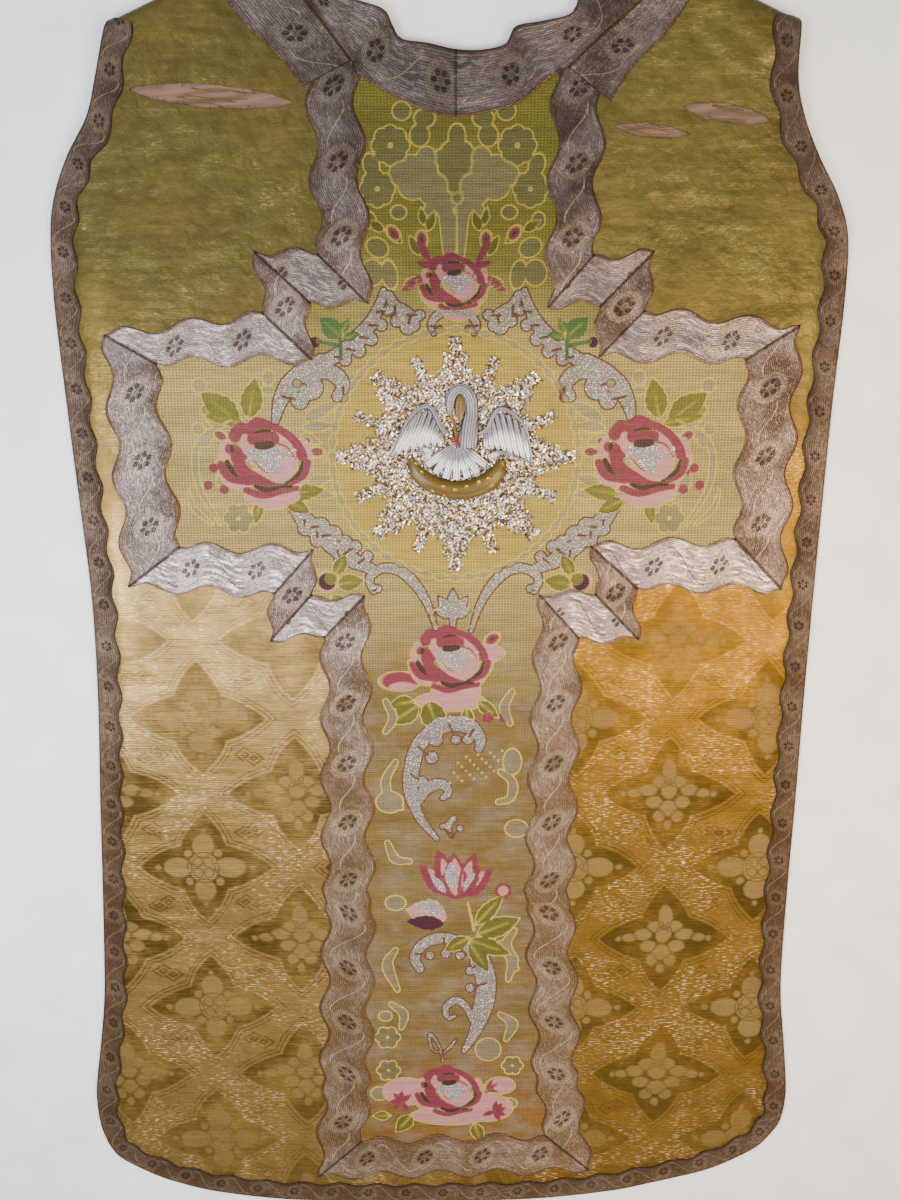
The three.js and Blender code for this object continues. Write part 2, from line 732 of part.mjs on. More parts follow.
const NECK_CORD = [
  [12, 9, 8.5], [13, 24, 7.2], [14, 38, 6], [13, 48, 5.4], [7, 56, 4.8], [0, 55, 4.6], [-3, 49, 4],
  [-2, 41, 2.2], [0, 31, 1.6], [2, 21, 1.3],
];
const FAN = { x: 2, y: 14, inner: 4, outer: 37, from: 208, to: 332, parts: 7 };
const NEST = [
  [-39, 1], [-31, -9], [-21, -16], [-10, -20], [4, -21.5], [18, -19], [29, -13], [38, -5], [43, 0],
  [42, -12], [36, -23], [26, -31], [12, -36], [-2, -36], [-16, -33], [-28, -26], [-36, -15],
];

function fanSolid() {
  const wedges = [];
  for (let k = 0; k < FAN.parts; k += 1) {
    const step = (FAN.to - FAN.from) / FAN.parts;
    const start = FAN.from + k * step;
    const edges = [start + 0.6, start + step / 2, start + step - 0.6];
    const at = (degrees, radius) => {
      const angle = THREE.MathUtils.degToRad(degrees);
      return [FAN.x + radius * Math.cos(angle), FAN.y + radius * Math.sin(angle)];
    };
    const rim = edges.map((edge) => at(edge, FAN.outer));
    const outline = [at(edges[0], FAN.inner), ...rim, at(edges[2], FAN.inner)];
    wedges.push(pad(outline, 2.4 + (k % 2) * 0.8, 0.5));
  }
  const base = pad(grown(wedgeBase(), -0.4), 1.6, 0.3);
  return wedges.reduce((all, wedge) => wasm.Manifold.union(all, wedge), base);
}

function wedgeBase() {
  const count = 14;
  const rim = (radius, k) => {
    const angle = THREE.MathUtils.degToRad(FAN.from + ((FAN.to - FAN.from) * k) / count);
    return [FAN.x + radius * Math.cos(angle), FAN.y + radius * Math.sin(angle)];
  };
  const outer = Array.from({ length: count + 1 }, (_, k) => rim(FAN.outer, k));
  return [...outer, rim(FAN.inner, count), rim(FAN.inner, count / 2), rim(FAN.inner, 0)];
}

function pelicanSolids() {
  const at = (outline) => outline.map(([x, y]) => [x + SUN.x, y + SUN.y]);
  const room = (outline) => prism(grown(at(outline), GAP));
  const nest = pad(NEST, 5.5, 2.6);
  const fan = cut(fanSolid(), room(NEST));
  const wing = (own) => wasm.Manifold.union(pad(own.web, 2.2, 0.9), lifted(cord(own.rim)));
  const neck = lifted(cord(NECK_CORD, 10));
  const fanRoom = prism(grown(at(wedgeBase()), GAP));
  const body = cut(neck, fanRoom, room(NEST));
  const clear = (solid) => cut(solid, fanRoom, room(NEST), roomRound(NECK_CORD));
  return {
    pelican_body: body,
    pelican_wing_left: clear(wing(WING_LEFT)),
    pelican_wing_right: clear(wing(WING_RIGHT)),
    chick_fan: fan,
    nest,
  };
}

// Clear space beside the neck, a little wider than the neck itself.
function roomRound(points) {
  return cord(points.map(([x, y, radius]) => [x, y, radius + GAP * 1.3]), 10);
}

function chasuble() {
  const sun = within(backLayer(SUN.low, SUN.high), sunOutline());
  return { ...backSolids(), ...frontSolids(), sunburst: sun, ...pelicanSolids() };
}

const model = new THREE.Group();
Object.entries(chasuble()).forEach(([name, solid]) => {
  const mesh = new THREE.Mesh(geometryOf(solid), new THREE.MeshStandardMaterial());
  mesh.name = name;
  model.add(mesh);
});

export default model;
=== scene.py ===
import math
from functools import partial

import bpy
import numpy as np
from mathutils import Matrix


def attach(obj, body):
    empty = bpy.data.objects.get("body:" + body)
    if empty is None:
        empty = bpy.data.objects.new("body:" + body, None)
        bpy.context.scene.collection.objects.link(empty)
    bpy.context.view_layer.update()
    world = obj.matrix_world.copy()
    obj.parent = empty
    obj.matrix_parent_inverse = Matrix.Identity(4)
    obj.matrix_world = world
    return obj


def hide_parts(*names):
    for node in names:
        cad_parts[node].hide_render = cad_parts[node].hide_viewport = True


# A chasuble lying flat with its back up. Garment sizes are in millimetres.
mm = 0.001
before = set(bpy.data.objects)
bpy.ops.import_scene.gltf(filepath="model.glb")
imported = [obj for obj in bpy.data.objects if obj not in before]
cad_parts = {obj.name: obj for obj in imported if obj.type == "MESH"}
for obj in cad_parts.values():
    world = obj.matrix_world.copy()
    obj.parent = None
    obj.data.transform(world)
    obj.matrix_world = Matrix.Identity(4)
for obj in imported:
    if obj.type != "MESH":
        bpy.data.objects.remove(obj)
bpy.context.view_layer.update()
bpy.ops.object.select_all(action="DESELECT")
print("frame loaded")

# the photograph's view, from nearly overhead
view = {"aim": (-4.5, 38.5, 0), "distance": 945, "tilt": 11.86, "lens": 31.5}

tilt = math.radians(view["tilt"])
cameraAt = np.array(view["aim"]) + view["distance"] * np.array([0, math.sin(tilt), math.cos(tilt)])
bpy.ops.object.camera_add(location=tuple(cameraAt * mm), rotation=(-tilt, 0, 0))
camera = bpy.context.object
camera.data.lens = view["lens"]
camera.data.sensor_width = 36
bpy.context.scene.camera = camera

# soft studio light; the two side lamps give the sheen at the middle of each side
lamps = {
    "left": {"at": (-0.50, -0.04, 0.85), "size": 0.42, "watts": 9.5, "colour": (0.86, 0.93, 1.0)},
    "right": {"at": (0.50, 0.00, 0.85), "size": 0.42, "watts": 10.5, "colour": (1.0, 0.74, 0.42)},
    "sky": {"at": (-0.9, 0.9, 1.9), "size": 1.5, "watts": 16.0, "colour": (0.78, 0.89, 1.0)},
    "foot": {"at": (0.5, -1.4, 1.5), "size": 1.2, "watts": 14.0, "colour": (1.0, 0.84, 0.62)},
}
for name, lamp in lamps.items():
    bpy.ops.object.light_add(type="AREA", location=lamp["at"])
    light = bpy.context.object
    light.name = "lamp_" + name
    light.data.energy = lamp["watts"]
    light.data.size = lamp["size"]
    light.data.color = lamp["colour"]
    light.visible_camera = False
    aim = -light.location.normalized()
    light.rotation_euler = aim.to_track_quat("-Z", "Y").to_euler()

world = bpy.data.worlds.new("studio")
bpy.context.scene.world = world
world.use_nodes = True
world.node_tree.nodes["Background"].inputs["Color"].default_value = (0.86, 0.92, 1.0, 1)
world.node_tree.nodes["Background"].inputs["Strength"].default_value = 0.62
print("camera and light set")


def shade(code):
    # sRGB hex to linear colour
    parts = [int(code[k:k + 2], 16) / 255 for k in (0, 2, 4)]
    return tuple(c / 12.92 if c <= 0.04045 else ((c + 0.055) / 1.055) ** 2.4 for c in parts) + (1.0,)


def addNode(tree, kind, *values, **settings):
    # kind may end in a dot and its operation or data type; values go in by order, or by name from a dict
    kind, dot, mode = kind.partition(".")
    node = tree.nodes.new("ShaderNode" + kind)
    if mode:
        settings["data_type" if kind == "Mix" else "operation"] = mode
    for key, value in settings.items():
        setattr(node, key, value)
    sockets = [s for s in node.inputs if s.enabled]
    links = {}
    for k, value in enumerate(values):
        links.update(value if isinstance(value, dict) else {k: value})
    for key, value in links.items():
        socket = sockets[key] if isinstance(key, int) else next(s for s in sockets if s.name == key)
        if isinstance(value, bpy.types.Node):
            value = next(s for s in value.outputs if s.enabled)
        if isinstance(value, bpy.types.NodeSocket):
            tree.links.new(value, socket)
        else:
            socket.default_value = value
    return node


def newMaterial(name):
    material = bpy.data.materials.new(name)
    material.use_nodes = True
    tree = material.node_tree
    tree.nodes.clear()
    shader = addNode(tree, "BsdfPrincipled")
    addNode(tree, "OutputMaterial", {"Surface": shader})
    place = addNode(tree, "TexCoord").outputs["Object"]
    garment = addNode(tree, "VectorMath.SCALE", place, 1 / mm)
    return material, tree, shader, garment


def plainMaterial(name, colour, grain, rough, bump, metal=0.0):
    # one woven or matt surface with slight mottling and a grain of the given size in mm
    material, tree, shader, garment = newMaterial(name)
    cloud = addNode(tree, "TexNoise", {"Vector": garment, "Scale": 0.02, "Detail": 3.0})
    fine = addNode(tree, "TexNoise", {"Vector": garment, "Scale": 1 / grain, "Detail": 2.0})
    tone = addNode(tree, "MapRange", {"Value": cloud.outputs["Fac"], "To Min": 0.86, "To Max": 1.12})
    tint = addNode(tree, "VectorMath.SCALE", shade(colour)[:3], tone)
    tree.links.new(tint.outputs[0], shader.inputs["Base Color"])
    relief = addNode(tree, "Bump", {"Height": fine.outputs["Fac"], "Distance": 0.001, "Strength": bump})
    tree.links.new(relief.outputs[0], shader.inputs["Normal"])
    shader.inputs["Roughness"].default_value = rough
    shader.inputs["Metallic"].default_value = metal
    return material


bpy.ops.mesh.primitive_plane_add(size=6, location=(0, 0, -0.0002))
floor = bpy.context.object
floor.name = "floor"
floor.data.materials.append(plainMaterial("matt_studio_paper", "ffffff", 6.0, 0.9, 0.04))

cloth = {
    "panelThick": 1.5, "foldTop": 585.0, "neckHalf": 113.0, "slope": 0.441, "foldRadius": 7.0,
    "pastFold": 3.8, "cutTop": 640,
    "below": [7, 30, 60, 90, 125, 170, 215, 260],          # distance below the fold
    "inside": [12.5, 10.4, 7.8, 6.2, 5.2, 4.4, 3.4, 2.9],  # underside height there
    "edge": [12.5, 10.2, 7.4, 5.5, 4.2, 0.0, 0.0, 0.0],
}
# y, left half width, right half width
sides = [
    (516, 277, 275), (472, 290, 276), (442, 300, 284), (411, 319, 299), (380, 332, 317),
    (348, 338, 328), (300, 340, 330), (216, 336, 326), (130, 331, 323.5), (39, 326, 321.3),
    (-55, 327, 319.5), (-153, 331.7, 318.5), (-234, 335, 317), (-318, 339, 316.5),
    (-361, 342, 318.5), (-405, 348, 324), (-449, 355, 329), (-472, 356.5, 329.5),
    (-495, 355, 325.5), (-512, 351, 315),
]
hem = [
    (-345, -526), (-335, -538), (-310, -553), (-285, -564), (-242, -576), (-175, -585),
    (-100, -587.5), (-25, -588), (76, -585), (155, -576), (203, -565), (251, -552), (278, -540),
    (303, -525),
]
# soft ripples: x, y, half length, half width, height
ripples = [
    (-40, -204, 150, 40, 2.0), (30, -284, 170, 40, 2.6), (20, -364, 190, 40, 2.2),
    (230, -324, 90, 40, 2.4), (-250, -244, 80, 40, 2.4), (220, -444, 90, 40, 1.8),
]
# creases from being folded away: both ends, depth, half width
creases = [
    (-335, -133, -262, -128, 1.1, 5), (-338, -262, -240, -268, 1.3, 5),
    (-340, -284, -250, -282, 1.0, 5), (-342, -317, -285, -313, 0.8, 5),
    (318, -296, 262, -300, 1.1, 5), (322, -352, 270, -349, 0.9, 5),
    (326, -415, 268, -420, 1.0, 5), (-120, -232, 110, -226, 0.8, 8),
    (-118, -322, 112, -330, 0.8, 8), (-110, -150, 108, -158, 0.6, 9),
    (-297, 300, -306, 120, 1.0, 6), (-288, 250, -290, 60, 0.7, 6),
    (205, 520, 262, 470, 1.2, 7), (188, 505, 240, 455, 0.9, 6),
    (-255, 520, -215, 470, 0.8, 7), (290, 330, 300, 130, 0.6, 6),
]

leftLine = [(-l, y) for y, l, r in sides]
rightLine = [(r, y) for y, l, r in sides]
outerLine = leftLine + hem + rightLine[::-1]


def foldY(x):
    return cloth["foldTop"] - np.maximum(0, np.abs(x) - cloth["neckHalf"]) * cloth["slope"]


def fromLine(x, y, ends):
    # distance from a straight line piece, and how far along it
    x0, y0, x1, y1 = ends
    dx, dy = x1 - x0, y1 - y0
    share = np.clip(((x - x0) * dx + (y - y0) * dy) / (dx * dx + dy * dy + 1e-9), 0, 1)
    return np.hypot(x - x0 - share * dx, y - y0 - share * dy), share


def fromOutline(x, y, points):
    best = np.full(np.shape(x), 1e9)
    for a, b in zip(points[:-1], points[1:]):
        best = np.minimum(best, fromLine(x, y, (*a, *b))[0])
    return best


def within(x, y, points):
    inside = np.zeros(np.shape(x), bool)
    for (x0, y0), (x1, y1) in zip(points, points[1:] + points[:1]):
        crosses = (y0 > y) != (y1 > y)
        inside ^= crosses & (x < (x1 - x0) * (y - y0) / ((y1 - y0) or 1e-9) + x0)
    return inside


def clothHeight(x, y):
    below = foldY(x) - y
    t = np.clip((fromOutline(x, y, outerLine) - 9) / 18, 0, 1)
    t = t * t * (3 - 2 * t)
    inner = np.interp(below, cloth["below"], cloth["inside"])
    edge = np.interp(below, cloth["below"], cloth["edge"])
    z = edge + (inner - edge) * t
    for rx, ry, across, along, high in ripples:
        u = np.clip(np.abs(x - rx) / across, 0, 1)
        v = np.clip(np.abs(y - ry) / along, 0, 1)
        z = z + high * (1 - u ** 4) * np.cos(v * math.pi / 2) ** 2 * t
    for x0, y0, x1, y1, deep, half in creases:
        d, s = fromLine(x, y, (x0, y0, x1, y1))
        fade = np.clip(4 * s * (1 - s) + 0.15, 0, 1) * t * deep
        z = z + fade * (0.7 * np.exp(-((d - half * 1.5) / half) ** 2) - 0.5 * np.exp(-(d / half) ** 2))
    uneven = 0.22 * np.sin(x / 31 + 1.3 * np.sin(y / 57)) * np.sin(y / 23 + 1.1 * np.sin(x / 49))
    uneven = uneven + 0.12 * np.sin(y / 7.3 + 2.0 * np.sin(x / 37))
    return z + (uneven + 0.34) * t


def onBack(x, q, off):
    # off is height above the back's underside; q runs on as length round the fold
    x, q, off = np.broadcast_arrays(np.asarray(x, float), np.asarray(q, float), np.asarray(off, float))
    q = np.minimum(q, foldY(x) + cloth["pastFold"])
    bendStart = foldY(x) - cloth["foldRadius"]
    angle = np.clip((q - bendStart) / cloth["foldRadius"], 0, math.pi / 2)
    reach = cloth["foldRadius"] - cloth["panelThick"] + off
    blend = np.clip((foldY(x) - q - 7) / 25, 0, 1)
    flat = (1 - blend) * (12.5 + off) + blend * (clothHeight(x, np.minimum(q, bendStart)) + off)
    z = np.where(q > bendStart, cloth["foldRadius"] + reach * np.cos(angle), flat)
    y = np.where(q > bendStart, bendStart + reach * np.sin(angle), q)
    return np.stack([x, y, z], -1)


def onFront(x, q, off):
    # the front lies below, face down; off counts up from the floor
    x, q, off = np.broadcast_arrays(np.asarray(x, float), np.asarray(q, float), np.asarray(off, float))
    q = np.minimum(q, foldY(x) + cloth["pastFold"])
    bendStart = foldY(x) - cloth["foldRadius"]
    angle = np.clip((q - bendStart) / cloth["foldRadius"], 0, math.pi / 2 - 0.05)
    reach = cloth["foldRadius"] - off
    y = np.where(q > bendStart, bendStart + reach * np.sin(angle), q)
    z = np.where(q > bendStart, cloth["foldRadius"] - reach * np.cos(angle), off)
    return np.stack([x, y, z], -1)


def makePiece(name, verts, faces, patternMap=None, values=None):
    mesh = bpy.data.meshes.new(name)
    mesh.from_pydata((np.asarray(verts) * mm).tolist(), [], [list(f) for f in faces])
    if patternMap is not None:
        corner = np.empty(len(mesh.loops), np.int32)
        mesh.loops.foreach_get("vertex_index", corner)
        layer = mesh.uv_layers.new(name="cloth")
        layer.data.foreach_set("uv", np.asarray(patternMap, np.float32)[corner].ravel())
    for key, data in (values or {}).items():
        field = mesh.attributes.new(key, "FLOAT", "POINT")
        field.data.foreach_set("value", np.asarray(data, np.float32))
    mesh.shade_smooth()
    piece = bpy.data.objects.new(name, mesh)
    bpy.context.collection.objects.link(piece)
    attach(piece, "root")
    return piece


def pick(piece):
    bpy.ops.object.select_all(action="DESELECT")
    piece.select_set(True)
    bpy.context.view_layer.objects.active = piece


def closeUp(piece, sharp=None):
    # merge doubles, turn faces outwards and keep edges sharper than the given angle
    pick(piece)
    bpy.ops.object.mode_set(mode="EDIT")
    bpy.ops.mesh.select_all(action="SELECT")
    bpy.ops.mesh.remove_doubles(threshold=0.00001)
    bpy.ops.mesh.normals_make_consistent(inside=False)
    bpy.ops.object.mode_set(mode="OBJECT")
    if sharp:
        bpy.ops.object.shade_smooth_by_angle(angle=math.radians(sharp))


def cutWith(piece, outline, how, low=-30, high=60):
    n = len(outline)
    verts = [(x, y, low) for x, y in outline] + [(x, y, high) for x, y in outline]
    faces = [list(range(n))[::-1], list(range(n, 2 * n))]
    faces += [[k, (k + 1) % n, n + (k + 1) % n, n + k] for k in range(n)]
    mesh = bpy.data.meshes.new("cutter")
    mesh.from_pydata((np.array(verts) * mm).tolist(), [], faces)
    cutter = bpy.data.objects.new("cutter", mesh)
    bpy.context.collection.objects.link(cutter)
    closeUp(cutter)
    pick(piece)
    cut = piece.modifiers.new("cut", "BOOLEAN")
    cut.operation = how
    cut.solver = "MANIFOLD"
    cut.object = cutter
    bpy.ops.object.modifier_apply(modifier=cut.name)
    bpy.data.objects.remove(cutter)
    bpy.data.meshes.remove(mesh)


def raised(points):
    # both ends carried up past the fold
    return [(points[0][0], cloth["cutTop"]), *points, (points[-1][0], cloth["cutTop"])]


def clothSheet(name, place, low, high, step, box, outline, holes=()):
    # a layer of cloth on an even grid, cut to its outline
    x0, x1, qLow, *qHigh = box
    xs = np.linspace(x0, x1, int((x1 - x0) / step) + 1)
    rise = np.linspace(0, 1, int(((qHigh[0] if qHigh else cloth["foldTop"]) - qLow) / step) + 1)
    x, t = np.meshgrid(xs, rise)
    top = np.minimum(foldY(xs) + cloth["pastFold"], qHigh[0]) if qHigh else foldY(xs) + cloth["pastFold"]
    q = qLow + (top[None, :] - qLow) * t
    x, q = x.ravel(), q.ravel()
    nx, ny = len(xs), len(rise)
    layers = [place(x, q, high(x, q) if callable(high) else high),
              place(x, q, low(x, q) if callable(low) else low)]
    i, j = np.meshgrid(np.arange(nx - 1), np.arange(ny - 1))
    a = (j * nx + i).ravel()
    quads = np.stack([a, a + 1, a + 1 + nx, a + nx], 1)
    rim = list(range(nx)) + [k * nx + nx - 1 for k in range(1, ny)]
    rim += [(ny - 1) * nx + k for k in range(nx - 2, -1, -1)] + [k * nx for k in range(ny - 2, 0, -1)]
    rim = np.array(rim)
    after = np.roll(rim, -1)
    wall = np.stack([rim, rim + nx * ny, after + nx * ny, after], 1)
    piece = makePiece(name, np.vstack(layers), np.vstack([quads, quads[:, ::-1] + nx * ny, wall]))
    closeUp(piece)
    cutWith(piece, outline, "INTERSECT")
    for hole in holes:
        cutWith(piece, hole, "DIFFERENCE")
    closeUp(piece, sharp=40)
    return piece


def rounded(rows, step):
    # even stations on a curve through rows of numbers; the first four are two points of a rung
    p = np.array(rows, float)
    p = np.vstack([2 * p[0] - p[1], p, 2 * p[-1] - p[-2]])
    out = []
    for k in range(1, len(p) - 2):
        a, b, c, d = p[k - 1:k + 3]
        for t in np.linspace(0, 1, 16, endpoint=False):
            out.append(0.5 * (2 * b + (c - a) * t + (2 * a - 5 * b + 4 * c - d) * t ** 2
                              + (3 * b - a - 3 * c + d) * t ** 3))
    out = np.array(out + [p[-2]])
    mid = (out[:, 0:2] + out[:, -2:]) / 2
    length = np.concatenate([[0], np.cumsum(np.hypot(*np.diff(mid, axis=0).T))])
    at = np.linspace(0, length[-1], int(length[-1] / step) + 1)
    return np.stack([np.interp(at, length, column) for column in out.T], 1), at


# a galloon's section: share across its width, height; corded at both edges
braidSection = [
    (0, 0), (0, .7), (.02, 1.15), (.05, 1.3), (.08, 1.15), (.105, .9), (.2, .98), (.3, 1.0), (.4, 1.03),
    (.5, 1.05), (.6, 1.03), (.7, 1.0), (.8, .98), (.895, .9), (.92, 1.15), (.95, 1.3), (.98, 1.15),
    (1, .7), (1, 0), (.75, 0), (.5, 0), (.25, 0),
]
flatSection = [(0, 0), (0, 1), (.33, 1), (.67, 1), (1, 1), (1, 0), (.67, 0), (.33, 0)]


def overOrphrey(x, y):
    # braids climb onto the orphrey where they lie on it
    depth = fromOutline(x, y, orphreyLine + orphreyLine[:1])
    depth = np.where(within(x, y, orphreyLine), depth, -depth)
    return 1.2 * np.clip((depth + 5) / 4, 0, 1)


def braidStrip(name, outer, inner, mapOf, section=braidSection, place=onBack, base=1.85, run=None,
               mitres=(), climb=True):
    # outer and inner are matching points along both edges; a rung joins each pair
    count, ring = len(outer), len(section)
    share, high = np.array(section).T
    spots = outer[:, None] * (1 - share)[None, :, None] + inner[:, None] * share[None, :, None]
    x, y = spots[..., 0].ravel(), spots[..., 1].ravel()
    off = base + np.tile(high, count) + (overOrphrey(x, y) if climb else 0)
    k, r = np.meshgrid(np.arange(count - 1), np.arange(ring), indexing="ij")
    same = np.ones(count - 1, bool) if run is None else run[:-1] == run[1:]
    k, r = k[same].ravel(), r[same].ravel()
    a, b = k * ring + r, k * ring + (r + 1) % ring
    faces = np.stack([a, b, b + ring, a + ring], 1).tolist()
    faces += [list(range(ring))[::-1], list(range((count - 1) * ring, count * ring))]
    seam = np.full(len(x), 60.0)
    for ends in mitres:
        seam = np.minimum(seam, fromLine(x, y, ends)[0])
    lean = np.gradient((outer + inner) / 2, axis=0)
    lean = np.repeat(np.abs(lean[:, 0]) / (np.linalg.norm(lean, axis=1) + 1e-9), ring)
    values = {"seam": seam, "rim": np.minimum(np.tile(share, count), 1 - np.tile(share, count)), "level": lean}
    piece = makePiece(name, place(x, y, off), faces, mapOf(spots, share), values)
    closeUp(piece, sharp=50)
    return piece


# wide galloon round the cross: outer x, y, inner x, y
crossBraid = {"repeat": 58, "swing": 4.6, "fade": 14, "step": 2.2}
crossRows = [
    (-119, 500, -80.5, 500), (-115, 335.5, -73, 295), (-168.7, 338, -122, 296), (-163, 288, -122, 249),
    (-299, 270, -255, 246), (-292, 51, -243, 88), (-162, 45, -125, 86), (-167, 1.5, -128, 44.5),
    (-118, 5, -80, 44), (-123, -254, -79, -254), (-130, -449, -84, -449), (-138, -557, -93, -514),
    (136, -549, 91, -508), (122, -449, 81, -449), (110, -254, 69, -254), (112, 4, 75, 45),
    (166, 2.5, 125, 45), (163, 50, 120, 89), (292, 49, 247, 95), (293, 278, 247, 249),
    (160, 290, 122, 251), (167, 338, 122, 293), (116, 335, 78, 292), (121, 500, 82, 500),
]
bends = (0, 9, 10, 13, 14, 23)      # rows where the braid only turns a little, with no mitre

orphreyTop = [(97, 462), (74, 481), (42, 467), (0, 456), (-42, 469), (-74, 481), (-97, 466)]
orphreyLine = [(c + 0.4 * (a - c), d + 0.4 * (b - d)) for a, b, c, d in crossRows[1:-1]] + orphreyTop

# neck galloon: the neck's edge, then the braid's other edge; it passes the fold at both ends
neckRows = [
    (-113, 589, -152, 573), (-104, 558, -131, 543), (-97, 533, -113, 521), (-77, 527.5, -97, 501),
    (-57, 521, -84, 485), (-50, 509, -79, 474), (-43, 500, -60, 462.5), (-22, 497, -27, 447.5),
    (0, 492.5, 0, 442), (21, 492, 27, 445.5), (40, 496.5, 52.7, 453), (48, 509, 73, 469),
    (70, 513, 91, 480), (92, 518.5, 118, 504), (98, 532, 134, 517.5), (105, 558, 151, 532),
    (113, 589, 180, 560),
]
shoulderRows = {
    "shoulder_braid_left": [(-124, 465, -84, 485), (-141, 486, -98, 503), (-166, 508, -115, 524),
                            (-186, 532, -122, 532), (-200, 549, -150, 570)],
    "shoulder_braid_right": [(126, 454, 91, 480), (143, 479, 108, 495), (168, 503, 130, 513),
                             (189, 532, 151, 531), (203, 549, 179, 558)],
}
edgeBraid = {"width": 21, "swing": 2.2, "repeat": 38}
wideBraid = 42


def crossStations():
    outer, inner, run, places = [], [], [], []
    for k, (a, b) in enumerate(zip(crossRows[:-1], crossRows[1:])):
        a, b = np.array(a, float), np.array(b, float)
        mid = (a[:2] + a[2:] + b[:2] + b[2:]) / 4
        along = (b[:2] + b[2:] - a[:2] - a[2:]) / np.linalg.norm(b[:2] + b[2:] - a[:2] - a[2:])
        outward = np.array([along[1], -along[0]])
        share = np.linspace(0, 1, max(6, int(np.linalg.norm(b - a) / 1.4 / crossBraid["step"])))[:, None]
        for side, line in ((slice(0, 2), outer), (slice(2, 4), inner)):
            spots = a[side] + share * (b[side] - a[side])
            length = np.linalg.norm(b[side] - a[side])
            fade = np.minimum(1, np.minimum(share, 1 - share) * length / crossBraid["fade"])
            phase = 2 * math.pi * ((spots - mid) @ along) / crossBraid["repeat"]
            line.append(spots + outward * (crossBraid["swing"] * fade[:, 0] * np.sin(phase))[:, None])
        run.append(np.full(len(share), k))
        places.append((mid, along, outward))
    return np.vstack(outer), np.vstack(inner), np.concatenate(run), places


def straightMap(run, places):
    # pattern map in mm: along the run, then across from its wavy middle
    def mapOf(spots, share):
        out = np.empty(spots.shape)
        for k, (mid, along, outward) in enumerate(places):
            here = spots[run == k] - mid
            u = here @ along
            wave = crossBraid["swing"] * np.sin(2 * math.pi * u / crossBraid["repeat"])
            out[run == k] = np.stack([u + crossBraid["repeat"] / 2 * k, here @ outward - wave], -1)
        return out.reshape(-1, 2)
    return mapOf


def curvedMap(at, width):
    def mapOf(spots, share):
        u = np.broadcast_to(at[:, None], spots.shape[:2])
        v = np.broadcast_to((0.5 - share)[None, :] * width, spots.shape[:2])
        return np.stack([u, v], -1).reshape(-1, 2)
    return mapOf


def edgeStations(line, width, swing, repeat, step=2.4):
    path, at = rounded([(x, y, x, y) for x, y in line], step)
    turn = np.gradient(path[:, :2], axis=0)
    turn /= np.linalg.norm(turn, axis=1)[:, None]
    inward = np.stack([-turn[:, 1], turn[:, 0]], 1)
    by = width + swing * np.sin(2 * math.pi * at / repeat)
    return path[:, :2], path[:, :2] + inward * by[:, None], at


def polygonOf(outer, inner):
    return [tuple(p) for p in outer] + [tuple(p) for p in inner[::-1]]


neck, neckAt = rounded(neckRows, 2.0)
neckShape = raised([tuple(p) for p in neck[:, :2]]) + raised([tuple(p) for p in neck[::-1, 2:]])
shoulders = {name: rounded(rows, 2.0) for name, rows in shoulderRows.items()}
shoulderShapes = {name: polygonOf(np.vstack([line[:, :2], [line[-1, 0], cloth["cutTop"]]]),
                                  np.vstack([line[:, 2:], [line[-1, 2], cloth["cutTop"]]]))
                  for name, (line, at) in shoulders.items()}
edgeOuter, edgeInner, edgeAt = edgeStations(outerLine, **edgeBraid)
edgeShape = raised([tuple(p) for p in edgeOuter]) + raised([tuple(p) for p in edgeInner[::-1]])


def grown(points, gap):
    # the same outline, a little larger all round
    p = np.array(points)
    turn = np.roll(p, -1, axis=0) - np.roll(p, 1, axis=0)
    turn /= np.linalg.norm(turn, axis=1)[:, None] + 1e-9
    out = np.stack([turn[:, 1], -turn[:, 0]], 1)
    area = np.sum(p[:, 0] * np.roll(p[:, 1], -1) - np.roll(p[:, 0], -1) * p[:, 1])
    return [tuple(q) for q in p + out * gap * (1 if area > 0 else -1)]


# back: one brocade panel with its neck cut out and three rips
rips = {
    "left": {"at": (-198, 457.5), "long": 66, "high": 9, "turn": -4},
    "inner": {"at": (160, 432), "long": 31, "high": 5.5, "turn": -6},
    "outer": {"at": (221, 444.5), "long": 36, "high": 7.5, "turn": -9},
}
rng = np.random.default_rng(11)


def ripLine(rip, count=64):
    # a spindle with a frayed edge
    angle = np.linspace(0, 2 * math.pi, count, endpoint=False)
    x = rip["long"] * np.cos(angle)
    y = rip["high"] * np.sin(angle) * (0.55 + 0.45 * np.abs(np.sin(angle)))
    y = y + rng.uniform(-0.5, 0.5, count) * (np.abs(np.sin(angle)) > 0.2)
    t = math.radians(rip["turn"])
    return [(rip["at"][0] + a * math.cos(t) - b * math.sin(t), rip["at"][1] + a * math.sin(t) + b * math.cos(t))
            for a, b in zip(x, y)]


ripLines = {name: ripLine(rip) for name, rip in rips.items()}
edgePath = [tuple(p) for p in edgeStations(outerLine, 0.9, 0, 38, 6)[1]]
neckPath = [tuple(p) for p in rounded([(x, y, x, y) for x, y, *rest in neckRows], 6)[0][:, :2]]
backOutline = raised(edgePath) + raised(neckPath[::-1])
backPanel = clothSheet("back_brocade", onBack, 0, cloth["panelThick"], 4.4, (-362, 336, -592),
                       backOutline, ripLines.values())
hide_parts("back_panel")
print("back panel", len(backPanel.data.polygons))

